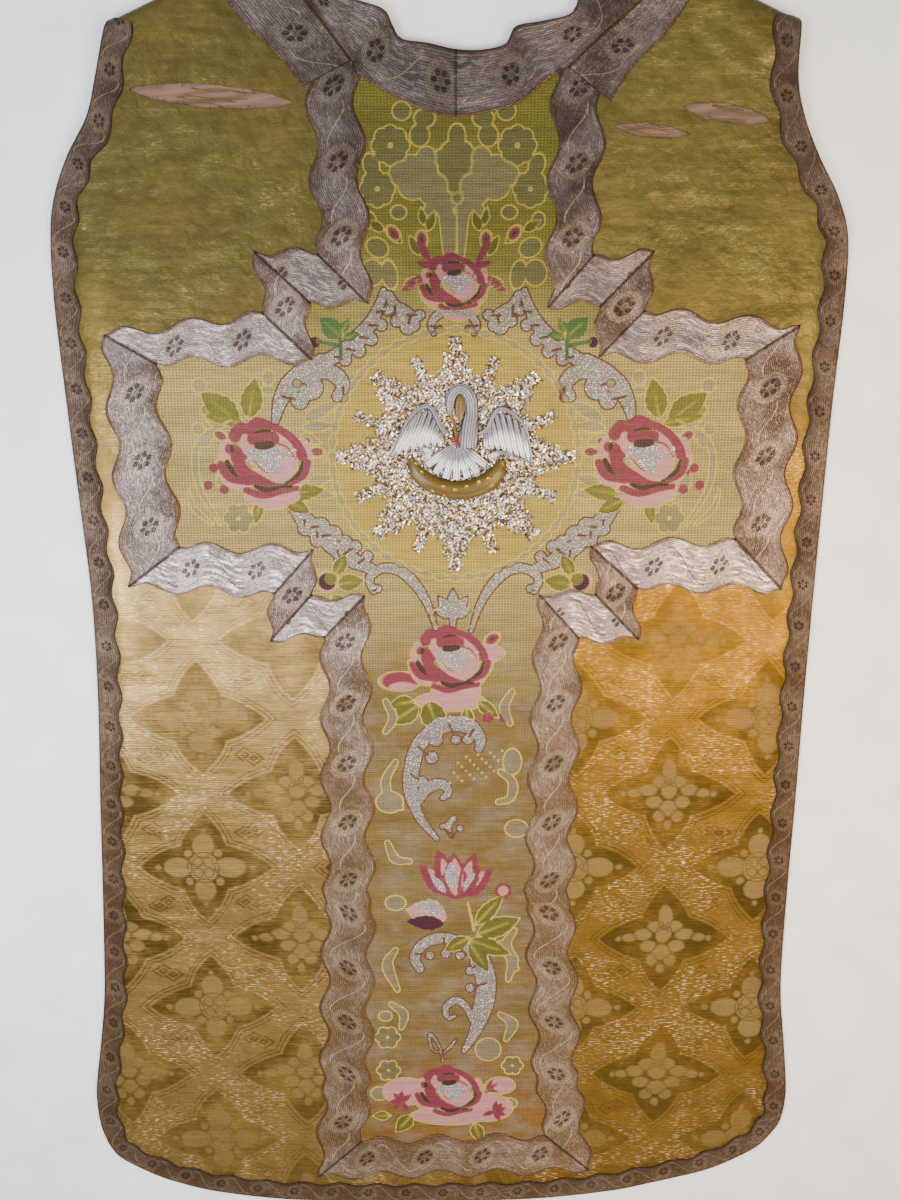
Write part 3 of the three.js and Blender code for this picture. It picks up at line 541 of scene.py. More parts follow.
# front, seen only from below and at the sides
frontSide = [
    (273, 515), (266, 480), (259, 440), (254, 395), (250, 330), (250, 200), (258, 0), (276, -200),
    (289, -400), (288, -455), (279, -485), (262, -505), (230, -524), (150, -535),
]
frontEdge = [(-x, y) for x, y in frontSide] + [(0, -540)] + frontSide[::-1]
frontNeck = [(-113, 589), (-104, 540), (-88, 490), (-55, 452), (0, 432), (55, 452), (88, 490),
             (104, 540), (113, 589)]
frontPath, frontInside, frontAt = edgeStations(frontEdge, edgeBraid["width"], 0, 38, 5)
frontNeckPath, frontNeckInside, frontNeckAt = edgeStations(frontNeck[::-1], edgeBraid["width"], 0, 38, 4)
frontOutline = raised([tuple(p) for p in frontPath]) + raised([tuple(p) for p in frontNeckPath])


def overFrontBraid(x, q):
    # the front lies on its own edge braids
    near = np.minimum(fromOutline(x, q, frontEdge), fromOutline(x, q, frontNeck))
    return 1.35 * np.clip((27 - near) / 5, 0, 1)


frontPanel = clothSheet("front_brocade", onFront, overFrontBraid,
                        lambda x, q: overFrontBraid(x, q) + 1.0, 7.5, (-300, 300, -548), frontOutline)
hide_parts("front_panel")
frontEdgeBraid = braidStrip("front_edge_galloon", frontPath, frontInside,
                            curvedMap(frontAt, edgeBraid["width"]), flatSection, onFront, 0.15, climb=False)
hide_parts("front_edge_braid")
frontNeckBraid = braidStrip("front_neck_galloon", frontNeckPath, frontNeckInside,
                            curvedMap(frontNeckAt, edgeBraid["width"]), flatSection, onFront, 0.15, climb=False)
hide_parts("front_neck_braid")
print("front laid below")

# braids sewn on the back
outer, inner, run, places = crossStations()
mitres = [row for k, row in enumerate(crossRows) if k not in bends]
crossStrip = braidStrip("cross_galloon", outer, inner, straightMap(run, places), run=run, mitres=mitres)
for shape in (neckShape, edgeShape, *shoulderShapes.values()):
    cutWith(crossStrip, grown(shape, 0.4), "DIFFERENCE")
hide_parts("cross_braid")
neckStrip = braidStrip("neck_galloon", neck[:, :2], neck[:, 2:], curvedMap(neckAt, wideBraid),
                       mitres=[(0, 492.5, 0, 442)])
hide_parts("neck_braid")
shoulderStrips = {}
for name, (line, at) in shoulders.items():
    strip = braidStrip(name.replace("braid", "galloon"), line[:, :2], line[:, 2:],
                       curvedMap(at + 20, wideBraid))
    cutWith(strip, grown(neckShape, 0.4), "DIFFERENCE")
    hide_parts(name)
    shoulderStrips[name] = strip
edgeStrip = braidStrip("edge_galloon_back", edgeOuter, edgeInner,
                       curvedMap(edgeAt, edgeBraid["width"]), climb=False)
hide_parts("back_edge_braid")
print("braids sewn on", len(crossStrip.data.polygons), len(edgeStrip.data.polygons))

# pink interlining behind the rips
liningPatches = {
    "interlining_left": [(-272, 440), (-122, 436), (-122, 474), (-272, 480)],
    "interlining_right": [(118, 416), (266, 420), (266, 464), (118, 458)],
}
linings = {}
for name, patch in liningPatches.items():
    xs, ys = zip(*patch)
    box = (min(xs) - 4, max(xs) + 4, min(ys) - 4, max(ys) + 4)
    linings[name] = clothSheet(name + "_cloth", onBack, -1.2, -0.35, 3.0, box, patch)
    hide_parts(name)


# sunburst of chipped metal purl: reach and half width of each step of a ray, by its turn from the cross's arms
sun = {"x": 0, "y": 167, "hub": 58, "reach": 105, "step": 1.6, "low": 2.95, "high": (3.1, 4.75), "lost": 0.012}
raySteps = [
    [(78, 16), (91, 11), (104, 5.5)], [(72, 10), (94, 4.6)], [(72, 15), (86, 11), (99, 6)], [(72, 9.5), (91, 4.6)],
    [(74, 15), (88, 10), (101, 5.5)],
]


# the 900 by 1200 photograph: its middle pixel and where that falls, mm to a pixel across and up, how fast
# these change up the picture, and the column that the cross's pattern is mirrored about
photo = {"middle": (450, 600), "at": (-4.6, 39), "across": 0.9, "up": 0.9196, "lean": 0.0002, "mirror": 454}


def spot(px, py):
    # where a pixel of the photograph falls on the cloth
    w = 1 - photo["lean"] * (py - photo["middle"][1])
    return ((px - photo["middle"][0]) * photo["across"] / w + photo["at"][0],
            -photo["up"] * (py - photo["middle"][1]) / w + photo["at"][1])


# figured silk cross: a fine grid, whose points carry how far they lie inside each colour of the pattern
orphrey = {"step": 1.72, "low": 1.8, "high": 2.75, "across": (-285, 285), "up": (-545, 500)}


def cellsOf(gx, gy, chosen):
    # the chosen cells of a grid: their corners and faces
    cx, cy = np.meshgrid((gx[:-1] + gx[1:]) / 2, (gy[:-1] + gy[1:]) / 2)
    cell = chosen(cx.ravel(), cy.ravel())
    i, j = np.meshgrid(np.arange(len(gx) - 1), np.arange(len(gy) - 1))
    a = (j * len(gx) + i).ravel()[cell]
    quads = np.stack([a, a + 1, a + 1 + len(gx), a + len(gx)], 1)
    used, quads = np.unique(quads, return_inverse=True)
    return gx[used % len(gx)], gy[used // len(gx)], quads.reshape(-1, 4)


def rimOf(quads):
    # edges that only one face has, each running the way its face does
    directed = np.concatenate([quads[:, [0, 1]], quads[:, [1, 2]], quads[:, [2, 3]], quads[:, [3, 0]]])
    pairs, firstAt, seen = np.unique(np.sort(directed, 1), axis=0, return_index=True, return_counts=True)
    return directed[firstAt[seen == 1]]


ox, oy, quads = cellsOf(np.arange(*orphrey["across"], orphrey["step"]), np.arange(*orphrey["up"], orphrey["step"]),
                        lambda x, y: within(x, y, orphreyLine))

paint = {key: np.full(len(ox), -9.0) for key in
         ("grey", "lace", "silver", "rust", "leaf", "green", "pink", "red", "dark", "glitter", "purple", "pale")}


def lay(colour, inside):
    # what a colour covers is taken away from the others
    for key in paint:
        paint[key] = np.maximum(paint[key], inside) if key == colour else np.minimum(paint[key], -inside)


def disc(x, y, r):
    return r - np.hypot(ox - x, oy - y)


def oval(x, y, rx, ry, turn=0):
    t = math.radians(turn)
    u = (ox - x) * math.cos(t) + (oy - y) * math.sin(t)
    v = (oy - y) * math.cos(t) - (ox - x) * math.sin(t)
    return (1 - np.hypot(u / rx, v / ry)) * min(rx, ry)


def stroke(points, widths):
    # a line that swells and tapers
    best = np.full(len(ox), -9.0)
    for k in range(len(points) - 1):
        d, s = fromLine(ox, oy, (*points[k], *points[k + 1]))
        best = np.maximum(best, widths[k] + s * (widths[k + 1] - widths[k]) - d)
    return best


def leafShape(x, y, long, wide, turn, tooth=0.0):
    # a leaf from its stalk at x, y
    t = math.radians(turn)
    u = (ox - x) * math.cos(t) + (oy - y) * math.sin(t)
    v = (oy - y) * math.cos(t) - (ox - x) * math.sin(t)
    s = np.clip(u / long, 0, 1)
    half = wide / 2 * np.sin(math.pi * s ** 0.8) ** 0.9 * (1 + tooth * np.abs(np.sin(s * 5 * math.pi)))
    return np.minimum(half - np.abs(v), np.minimum(u, long - u) + 0.3)


def curl(points):
    # a smooth line through photograph places
    line, at = rounded([(*spot(*p), *spot(*p)) for p in points], 3.0)
    return [tuple(p) for p in line[:, :2]]


def taper(line, start, middle, end):
    s = np.linspace(0, 1, len(line))
    return list(np.where(s < 0.5, start + (middle - start) * s * 2, middle + (end - middle) * (s * 2 - 1)))


def rosette(px, py, r, petals=7):
    x, y = spot(px, py)
    for k in range(petals):
        t = 2 * math.pi * k / petals
        lay("grey", disc(x + r * 0.66 * math.cos(t), y + r * 0.66 * math.sin(t), r * 0.36))
    lay("grey", disc(x, y, r * 0.62))
    lay("pale", disc(x, y, r * 0.16))


# cabbage rose in shares of its radius, painted in this order: colour, line of places, half widths
roseParts = [
    ("pink", [(-.45, -1.1), (.17, -1.24), (.75, -1.08)], (.12, .2, .14)),
    ("pink", [(-1.0, .3), (-1.02, .05), (-.9, -.15)], (.1, .16, .1)),
    ("pink", [(-1.2, -.2), (-1.0, -.66), (-.4, -.86)], (.08, .14, .08)),
    ("pink", [(1.05, .3), (1.14, -.25), (.8, -.85)], (.1, .12, .1)),
    ("red", [(-.76, .5), (-.56, .66), (-.42, .56)], (.16, .2, .14)),
    ("red", [(-.34, .68), (-.14, .8), (.06, .74)], (.15, .17, .15)),
    ("red", [(.1, .72), (.4, .62), (.72, .4), (.94, .12), (1.0, -.06)], (.13, .13, .12)),
    ("red", [(-.9, .16), (-.78, .1), (-.6, -.02)], (.13, .16, .14)),
    ("red", [(-1.16, -.26), (-.95, -.56), (-.45, -.72)], (.1, .13, .08)),
    ("dark", [(-1.0, -.2), (-.82, -.46), (-.4, -.66)], (.07, .08, .05)),
    ("dark", [(-.86, .22), (-.84, .08), (-.74, -.06)], (.05, .07, .04)),
    ("red", [(-.74, -.06), (-.6, -.4), (-.2, -.68), (.26, -.76), (.6, -.66)], (.15, .17, .1)),
    ("red", [(1.12, -.2), (1.0, -.52), (.62, -.76)], (.09, .1, .07)),
    ("dark", [(1.0, -.18), (.88, -.5), (.52, -.74)], (.04, .06, .04)),
    ("red", [(-.52, -.93), (-.1, -1.06), (.4, -.94), (.82, -.88)], (.08, .1, .07)),
    ("dark", [(-.28, -.82), (0, -.92), (.34, -.86)], (.05, .07, .05)),
    ("dark", [(.42, -.83), (.6, -.84), (.72, -.84)], (.04, .05, .03)),
    ("pink", [(.1, .1), (.3, -.14), (.36, -.3)], (.5, .54, .4)),
    ("pink", [(-.5, .44), (-.42, .16), (-.2, .0)], (.1, .16, .14)),
    ("red", [(-.28, .42), (0, .54), (.24, .42)], (.15, .18, .15)),
    ("dark", [(-.24, .58), (0, .64), (.2, .6)], (.03, .04, .03)),
    ("red", [(-.34, .1), (-.1, .02), (-.02, .1)], (.03, .04, .02)),
    ("dark", [(-.16, .24), (0, .23), (.18, .26)], (.1, .13, .1)),
    ("glitter", [(-.34, .08), (.02, .0), (.34, .12)], (.08, .12, .1)),
    ("glitter", [(.08, -.1), (.2, -.28), (.26, -.42)], (.2, .17, .1)),
    ("glitter", [(.3, -.16), (.56, -.02), (.8, .12)], (.07, .05, .04)),
    ("glitter", [(-.42, -.12), (-.12, -.3), (.2, -.42)], (.05, .05, .04)),
    ("red", [(-.3, -.14), (-.1, -.36), (.1, -.5)], (.02, .03, .02)),
    ("red", [(.34, .3), (.6, .2), (.8, -.1)], (.03, .03, .02)),
]


def rose(px, py, r):
    x, y = spot(px, py)
    for colour, points, widths in roseParts:
        line, along = rounded([(x + a * r, y + b * r, x + a * r, y + b * r) for a, b in points], 3.0)
        line = [tuple(p) for p in line[:, :2]]
        lay(colour, stroke(line, taper(line, *[w * r * 1.1 for w in widths])))


def bud(px, py, r, turn, colour="red"):
    x, y = spot(px, py)
    lay("pink", oval(x, y, r * 1.15, r * .8, turn))
    lay(colour, oval(x, y, r, r * .62, turn))
    lay("dark", oval(x, y, r * .5, r * .2, turn))


def leaf(px, py, long, wide, turn, colour="leaf", vein=True):
    x, y = spot(px, py)
    lay(colour, leafShape(x, y, long, wide, turn, 0.16))
    if vein:
        t = math.radians(turn)
        lay("grey", stroke([(x, y), (x + long * .72 * math.cos(t), y + long * .72 * math.sin(t))], [.9, .35]))


def placeX(side, px):
    return px if side > 0 else 2 * photo["mirror"] - px


def turned(side, turn):
    return turn if side > 0 else 180 - turn


bothSides = (1, -1)


def leaves(rows, colour="leaf", vein=True, sides=bothSides):
    # rows of place, length, width and turn
    for side in sides:
        for px, py, long, wide, turn in rows:
            leaf(placeX(side, px), py, long, wide, turned(side, turn), colour, vein)


def ovals(colour, rows, sides=bothSides):
    for side in sides:
        for px, py, rx, ry, *turn in rows:
            lay(colour, oval(*spot(placeX(side, px), py), rx, ry, turned(side, turn[0]) if turn else 0))


def rosettes(rows, petals, sides=bothSides):
    for side in sides:
        for px, py, r in rows:
            rosette(placeX(side, px), py, r, petals)


def buds(rows, r, sides=bothSides):
    for side in sides:
        for px, py, turn in rows:
            bud(placeX(side, px), py, r, turned(side, turn))


def scrolls(colour, rows, sides=bothSides):
    # rows of a line of places and its three half widths
    for side in sides:
        for points, widths in rows:
            line = curl([(placeX(side, px), py) for px, py in points])
            lay(colour, stroke(line, taper(line, *widths)))


def frond(side, points, widths, lobes=()):
    # silver leaf: a body, round lobes along it, and a brown vein from the body into each lobe
    line = curl([(placeX(side, px), py) for px, py in points])
    lay("silver", stroke(line, taper(line, *widths)))
    for px, py, r in lobes:
        lay("silver", disc(*spot(placeX(side, px), py), r))
    for px, py, r in lobes:
        x, y = spot(placeX(side, px), py)
        near = int(np.argmin([math.hypot(x - a, y - b) for a, b in line]))
        a, b = line[max(near - 2, 0)]
        lay("rust", stroke([(a, b), ((a + 3 * x) / 4, (b + 3 * y) / 4)], [1.2, 0.9]))


# upper arm: pale lace shapes round a tall vase, with a small rose under it
oneSide = (1,)
ovals("grey", [(457, 139, 6.5, 9), (457, 152, 12, 7), (457, 160, 20, 8), (457, 170, 15, 12), (457, 184, 8.5, 11)],
      oneSide)
for side in bothSides:
    for px, py, r in [(401, 176, 9), (413, 186, 12), (424, 172, 11), (427, 160, 8), (436, 188, 10), (448, 203, 7),
                      (412, 168, 8), (430, 196, 8)]:
        lay("lace", disc(*spot(placeX(side, px), py), r))
rosettes([(391, 148, 15), (378, 191, 14)], 8)
ovals("grey", [(402, 114, 7, 6.5, 0), (425, 121, 8, 6.5, 0), (420, 138, 7.5, 8, 0), (399, 214, 6, 5, 0),
               (372, 168, 6, 9, 20), (378, 249, 9, 7, 155), (373, 274, 9, 10, 0), (390, 276, 6, 11, 10),
               (370, 222, 5, 6, 0)])
lay("grey", disc(*spot(457, 200), 4.5))
scrolls("lace", [([(450, 262), (449, 240), (447, 218), (438, 208), (428, 211), (431, 219)], (4.5, 6.5, 2)),
                 ([(446, 300), (436, 306), (424, 298)], (1, 3, 2))])
lay("pale", stroke([spot(457, 206), spot(457, 262)], [.7, 1.2]))
leaves([(420, 256, 17, 6, 120), (402, 244, 16, 6, 140), (428, 232, 16, 6, 70), (384, 232, 15, 6, 150),
        (424, 226, 13, 5, 100)], "leaf", False)
buds([(394, 235, 130), (422, 241, 92)], 6)
leaves([(436, 270, 18, 6, 160), (432, 264, 22, 5, 128), (428, 262, 17, 4, 105), (434, 280, 26, 8, 188),
        (418, 284, 15, 6, 205)], "red", False)
buds([(412, 284, 205)], 5)
rose(454, 281, 23)

# silver leaf frame round the medallion, in four quarters: body, half widths, lobes
leafFrame = [
    ([(276, 424), (283, 398), (300, 376), (322, 362)], (2.5, 8, 6), [(312, 388, 10), (301, 401, 7)]),
    ([(318, 372), (334, 374), (344, 386), (338, 397)], (5, 6.5, 4), [(344, 398, 3.5)]),
    ([(312, 366), (334, 358), (354, 344), (370, 326), (380, 306), (384, 292)], (4, 7, 2.5),
     [(346, 360, 5), (360, 352, 5), (372, 340, 5), (382, 326, 4.5), (388, 312, 3.5)]),
    ([(390, 296), (396, 308), (408, 316), (414, 326)], (3, 5.5, 5), [(408, 328, 6), (397, 322, 4.5), (420, 316, 4)]),
    ([(452, 313), (438, 316), (431, 326), (434, 334)], (2, 3.2, 2), [(440, 330, 2.4)]),
    ([(284, 492), (296, 508), (312, 526), (334, 544)], (2.5, 7.5, 7),
     [(322, 526, 7.5), (334, 534, 7.5), (346, 542, 6), (306, 528, 6), (318, 540, 5.5)]),
    ([(330, 544), (350, 558), (372, 568)], (6, 7, 4), [(356, 546, 5), (368, 556, 4.5), (340, 560, 4)]),
    ([(374, 590), (370, 578), (382, 568), (400, 570), (416, 584), (428, 604), (437, 630)], (3, 4.6, 1.6),
     [(378, 588, 3.4)]),
]
for side in bothSides:
    for points, widths, lobes in leafFrame:
        frond(side, points, widths, lobes)
# paler grey leaves beside the frame
leaves([(306, 420, 34, 9, 28), (304, 428, 26, 8, 5), (302, 436, 18, 7, 340), (304, 490, 28, 9, 350),
        (310, 482, 20, 8, 12)], "lace", False)

# leaves and buds in the corners of the middle
leaves([(342, 338, 24, 15, 138), (342, 334, 14, 7, 60), (344, 340, 15, 7, 20)], "green")
for side in bothSides:
    lay("green", stroke([spot(placeX(side, 342), 360), spot(placeX(side, 341), 336)], [1.2, 1.6]))
    lay("green", stroke([spot(placeX(side, 338), 346), spot(placeX(side, 322), 343)], [2.0, 1.2]))
    x, y = spot(placeX(side, 316), 343)
    lay("purple", disc(x, y, 4.6))
    lay("green", disc(x + side * 3.2, y + .6, 2.4))
leaves([(338, 584, 24, 13, 10), (336, 574, 20, 10, 60), (332, 596, 18, 9, 330)])
for side in bothSides:
    x, y = spot(placeX(side, 328), 581)
    lay("pink", disc(x, y, 9.5))
    lay("purple", disc(x, y, 7.8))
    lay("leaf", disc(x + side * 3.4, y + 2.4, 5.4))

# side arms: a full rose with buds, berries and leaves on each
for side in bothSides:
    for px, py, rx, ry in [(240, 374, 6, 7), (228, 380, 6, 6), (240, 387, 7, 4), (171, 382, 7, 7), (182, 392, 6, 5),
                           (190, 412, 13, 12), (170, 425, 6, 6), (182, 430, 5, 5), (176, 437, 6, 6),
                           (210, 450, 20, 22), (268, 380, 6, 5), (196, 476, 8, 12)]:
        lay("lace", oval(*spot(placeX(side, px + 30), py + 4), rx * .8, ry * .8))
rosettes([(240, 518, 13), (216, 410, 11)], 6)
leaves([(240, 422, 40, 20, 142), (250, 418, 34, 17, 78), (246, 424, 36, 9, 168), (292, 494, 30, 12, 8),
        (286, 500, 24, 11, 335), (262, 500, 22, 8, 255)])
buds([(318, 452, 0), (306, 443, 40), (222, 436, 150)], 5.5)
for side in bothSides:
    lay("red", stroke([spot(placeX(side, 298), 456), spot(placeX(side, 316), 450)], [1.0, .8]))
for side in bothSides:
    for px, py, r in [(215, 468, 4), (210, 485, 4), (226, 489, 4.4), (222, 472, 2.6), (236, 478, 3.4)]:
        lay("red", disc(*spot(placeX(side, px), py), r))
scrolls("lace", [([(232, 420), (200, 444), (200, 484), (222, 524)], (1, 2.6, .8)),
                 ([(214, 524), (196, 508), (190, 490)], (.8, 2.0, .6))])
rose(266, 455, 33)
rose(placeX(-1, 266), 453, 33)

# lower arm: palmette, rose, leaf scrolls, tulip and a last rose
for k, turn in enumerate((90, 52, 128, 18, 162)):
    leaf(453, 614, (24, 21, 21, 17, 17)[k], 9, turn, "silver", False)
lay("silver", stroke([spot(453, 626), spot(453, 604)], [2, 4]))
scrolls("pale", [([(440, 606), (432, 612), (434, 622), (442, 628)], (.8, 1.1, .6))])
ovals("pink", [(400, 680, 18, 9), (450, 700, 30, 9), (486, 652, 16, 8)], oneSide)
lay("red", np.minimum(oval(*spot(400, 680), 16, 9), -oval(*spot(403, 687), 13, 6)))
bud(492, 638, 6.5, 35)
bud(484, 650, 4.5, 350)
leaves([(418, 704, 30, 17, 215), (428, 700, 34, 20, 290), (478, 700, 24, 10, 320), (414, 700, 22, 12, 190),
        (466, 706, 22, 9, 280)], sides=oneSide)
for px in (488, 504):
    for k in range(5):
        t = 2 * math.pi * k / 5
        x, y = spot(px, 716)
        lay("red", disc(x + 3.2 * math.cos(t), y + 3.2 * math.sin(t), 2.5))
rose(451, 655, 30)
for points, widths, lobes in [
        ([(440, 722), (420, 742), (412, 768), (412, 794), (422, 818), (437, 836)], (6, 7, 2),
         [(432, 756, 5.5), (422, 780, 5), (436, 738, 6)]),
        ([(434, 728), (450, 722), (468, 724), (480, 736), (479, 747)], (7, 7.5, 3.5),
         [(468, 738, 4.5), (456, 738, 4)]),
        ([(416, 800), (428, 786), (442, 782), (449, 790), (443, 796)], (5, 5, 2.4), []),
        ([(452, 834), (448, 824), (454, 816)], (1.2, 3, 2.4), [(443, 824, 2.6), (460, 826, 2.8)]),
        ([(420, 966), (415, 954), (424, 940), (442, 934), (460, 938), (474, 952)], (4, 5.6, 3.5),
         [(430, 952, 4), (446, 950, 4.4), (460, 952, 4)]),
        ([(480, 958), (486, 978), (483, 1002), (475, 1028), (464, 1048)], (9.5, 9, 2), [(470, 968, 4), (470, 984, 4)]),
        ([(472, 1016), (466, 1002), (456, 996), (446, 1003), (448, 1014), (455, 1012)], (2.4, 3.6, 1.6), [])]:
    frond(1, points, widths, lobes)
scrolls("lace", [([(500, 770), (512, 780), (510, 796), (498, 800)], (2, 4, 2)),
                 ([(396, 760), (386, 780), (392, 800), (402, 806)], (2, 4, 1.5)),
                 ([(388, 840), (396, 856), (410, 858)], (2, 4, 2)), ([(500, 940), (512, 956), (508, 976)], (3, 5, 2)),
                 ([(392, 1000), (404, 1010), (402, 1024)], (2, 4, 2)),
                 ([(500, 1010), (512, 1020), (506, 1036)], (2, 5, 2)),
                 ([(386, 700), (394, 716), (386, 730)], (2, 4, 2)),
                 ([(512, 690), (504, 706), (510, 722)], (2, 4, 2))], oneSide)
for row in range(6):
    for k in range(8):
        if (row + k) % 2:
            lay("pale", disc(*spot(460 + 6 * k - 2 * row, 752 + 5 * row + (4 - k)), 1.5))
scrolls("lace", [([(398, 986), (388, 962), (396, 946)], (2, 5, 2)), ([(516, 966), (506, 942), (514, 926)], (2, 5, 2))],
        oneSide)
# tulip: pointed petals, red outside, pale within and silver in the middle
for px, py, long, wide, turn in [(452, 892, 44, 20, 134), (462, 893, 40, 18, 44), (455, 896, 54, 21, 108),
                                 (459, 896, 50, 21, 72)]:
    leaf(px, py, long, wide, turn, "red", False)
    leaf(px, py - 4, long * .76, wide * .56, turn, "pink", False)
for px, py, long, wide, turn, colour in [
        (456, 897, 50, 20, 92, "red"), (456, 893, 40, 14, 92, "pink"), (455, 886, 28, 13, 100, "glitter"),
        (446, 890, 24, 7, 128, "glitter"), (464, 888, 22, 6, 62, "glitter"), (458, 896, 34, 3, 84, "red"),
        (452, 896, 32, 3, 112, "red"), (462, 896, 30, 3, 58, "red")]:
    leaf(px, py, long, wide, turn, colour, False)
ovals("red", [(503, 888, 8, 8)], oneSide)
ovals("pink", [(503, 888, 5, 5)], oneSide)
for px, py, long, wide, turn, colour in [
        (446, 914, 38, 25, 168, "pink"), (444, 920, 36, 13, 176, "purple"), (444, 908, 30, 13, 166, "glitter"),
        (478, 930, 42, 17, 22, "leaf"), (470, 936, 42, 15, 338, "leaf"), (470, 940, 36, 13, 300, "leaf"),
        (468, 934, 26, 12, 212, "leaf"), (476, 920, 38, 12, 48, "leaf")]:
    leaf(px, py, long, wide, turn, colour, colour == "leaf")
lay("pale", stroke([spot(468, 900), spot(474, 926)], [1.2, 1.6]))
rosettes([(388, 1034, 12), (389, 1067, 11), (512, 1062, 10)], 6, oneSide)
ovals("lace", [(488, 1046, 12, 12), (386, 1012, 6, 5), (380, 1090, 8, 7), (508, 1100, 8, 6), (396, 900, 9, 7),
               (390, 800, 12, 10), (516, 826, 10, 8), (512, 760, 8, 12)], oneSide)
scrolls("silver", [([(443, 1058), (440, 1044), (430, 1030), (432, 1046), (442, 1050)], (.6, 1.2, .6)),
                   ([(444, 1050), (452, 1042), (456, 1036)], (.6, 1.2, .6))], oneSide)
ovals("pink", [(406, 1088, 22, 15), (488, 1104, 24, 15), (450, 1112, 36, 10), (500, 1082, 14, 9)], oneSide)
for px, py, long, wide, turns in [(402, 1098, 13, 5, (90, 130, 180, 225, 40, 300)),
                                  (494, 1108, 13, 5, (20, 50, 80, 340, 300, 200)),
                                  (486, 1086, 14, 3.4, (30, 60, 350))]:
    leaves([(px, py, long, wide, turn) for turn in turns], "red", False, oneSide)
leaves([(412, 1112, 24, 13, 230), (474, 1120, 22, 11, 290), (390, 1112, 16, 8, 180)], sides=oneSide)
rose(449, 1085, 27)
across, angle = np.hypot(ox - sun["x"], oy - sun["y"]), np.arctan2(oy - sun["y"], ox - sun["x"])
lay("lace", 2.1 + 1.1 * np.cos(52 * angle) - np.abs(across - 107))
halo = 1 - np.hypot((ox - sun["x"]) / 112, (oy - sun["y"]) / 112)

top = onBack(ox, oy, orphrey["high"])
rimEdges = rimOf(quads)
rimPoints, rimIndex = np.unique(rimEdges, return_inverse=True)
rimIndex = rimIndex.reshape(-1, 2) + len(ox)
under = onBack(ox[rimPoints], oy[rimPoints], orphrey["low"])
turnedDown = np.stack([rimEdges[:, 1], rimEdges[:, 0], rimIndex[:, 0], rimIndex[:, 1]], 1)
paint["halo"] = halo
values = {key: np.concatenate([field, field[rimPoints]]) for key, field in paint.items()}
orphreySheet = makePiece("orphrey_silk", np.vstack([top, under]), np.vstack([quads, turnedDown]), None,
                         values)
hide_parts("orphrey_cross")
print("orphrey painted", len(orphreySheet.data.polygons))


def inSun(x, y):
    dx, dy = x - sun["x"], y - sun["y"]
    inside = np.hypot(dx, dy) < sun["hub"]
    for k in range(16):
        steps = raySteps[k % 8 if k % 8 <= 4 else 8 - k % 8]
        t = math.radians(22.5 * k)
        u = dx * math.cos(t) + dy * math.sin(t)
        v = np.abs(dy * math.cos(t) - dx * math.sin(t)) + 1.1 * np.sin(u / 1.9 + k) * np.sin(u / 0.83)
        for reach, half in steps:
            inside |= (u > 0) & (u < reach) & (v < half)
    return inside


# one small face to a chip of purl, with a few lost
steps = sun["step"] * np.arange(int(2 * sun["reach"] / sun["step"]) + 1)
x, y, quads = cellsOf(sun["x"] - sun["reach"] + steps, sun["y"] - sun["reach"] + steps,
                      lambda x, y: inSun(x, y) & (rng.random(len(x)) > sun["lost"]))
shift = sun["step"] * 0.36
x, y = x + rng.uniform(-shift, shift, len(x)), y + rng.uniform(-shift, shift, len(y))
m = len(x)
rimEdges = rimOf(quads)
walls = np.stack([rimEdges[:, 1], rimEdges[:, 0], rimEdges[:, 0] + m, rimEdges[:, 1] + m], 1)
sunburst = makePiece(
    "sunburst_purl",
    np.vstack([onBack(x, y, rng.uniform(*sun["high"], m)), onBack(x, y, sun["low"])]),
    np.vstack([quads, quads[:, ::-1] + m, walls]))
sunburst.data.shade_flat()
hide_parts("sunburst")
print("sunburst", len(sunburst.data.polygons))

# pelican, raised over padding and covered with laid silver thread; places from the sun's centre
bird = {"base": 4.9, "ring": 11}


def paddedStrips(name, strips, base=bird["base"], plump=0.8):
    # each strip is a row of x, y, half width; its section is a low dome on a flat foot
    verts, faces, patternMap, tips, rims = [], [], [], [], []
    for rows in strips:
        line, along = rounded([(x, y, r, lift[0] if lift else 0, x, y) for x, y, r, *lift in rows], 1.1)
        centre, r = line[:, :2] + [sun["x"], sun["y"]], np.maximum(line[:, 2], 0.25)
        turn = np.gradient(centre, axis=0)
        turn /= np.linalg.norm(turn, axis=1)[:, None] + 1e-9
        side = np.stack([-turn[:, 1], turn[:, 0]], 1)
        angle = np.linspace(0, math.pi, bird["ring"])
        reach = np.concatenate([np.cos(angle), [-0.4, 0.4]])
        rise = np.concatenate([np.sin(angle), [0, 0]])
        spots = centre[:, None] + side[:, None] * (r[:, None] * reach[None])[..., None]
        x, y = spots[..., 0].ravel(), spots[..., 1].ravel()
        start, count, ring = sum(len(v) for v in verts), len(centre), len(reach)
        verts.append(onBack(x, y, base + (line[:, 3:4] + plump * r[:, None] * rise[None]).ravel()))
        k, s = np.meshgrid(np.arange(count - 1), np.arange(ring), indexing="ij")
        a, b = (k * ring + s).ravel(), (k * ring + (s + 1) % ring).ravel()
        faces += (np.stack([a, b, b + ring, a + ring], 1) + start).tolist()
        faces += [[start + q for q in range(ring)][::-1], [start + (count - 1) * ring + q for q in range(ring)]]
        patternMap.append(np.stack([np.repeat(along, ring), (reach[None] * r[:, None]).ravel()], 1))
        tips.append(np.repeat(along / along[-1], ring) if len(rows) <= 4 else np.full(count * ring, 0.15))
        rims.append(np.tile(np.abs(reach), count))
    values = {"tip": np.concatenate(tips), "rim": np.concatenate(rims)}
    piece = makePiece(name, np.vstack(verts), faces, np.vstack(patternMap), values)
    closeUp(piece, sharp=60)
    return piece


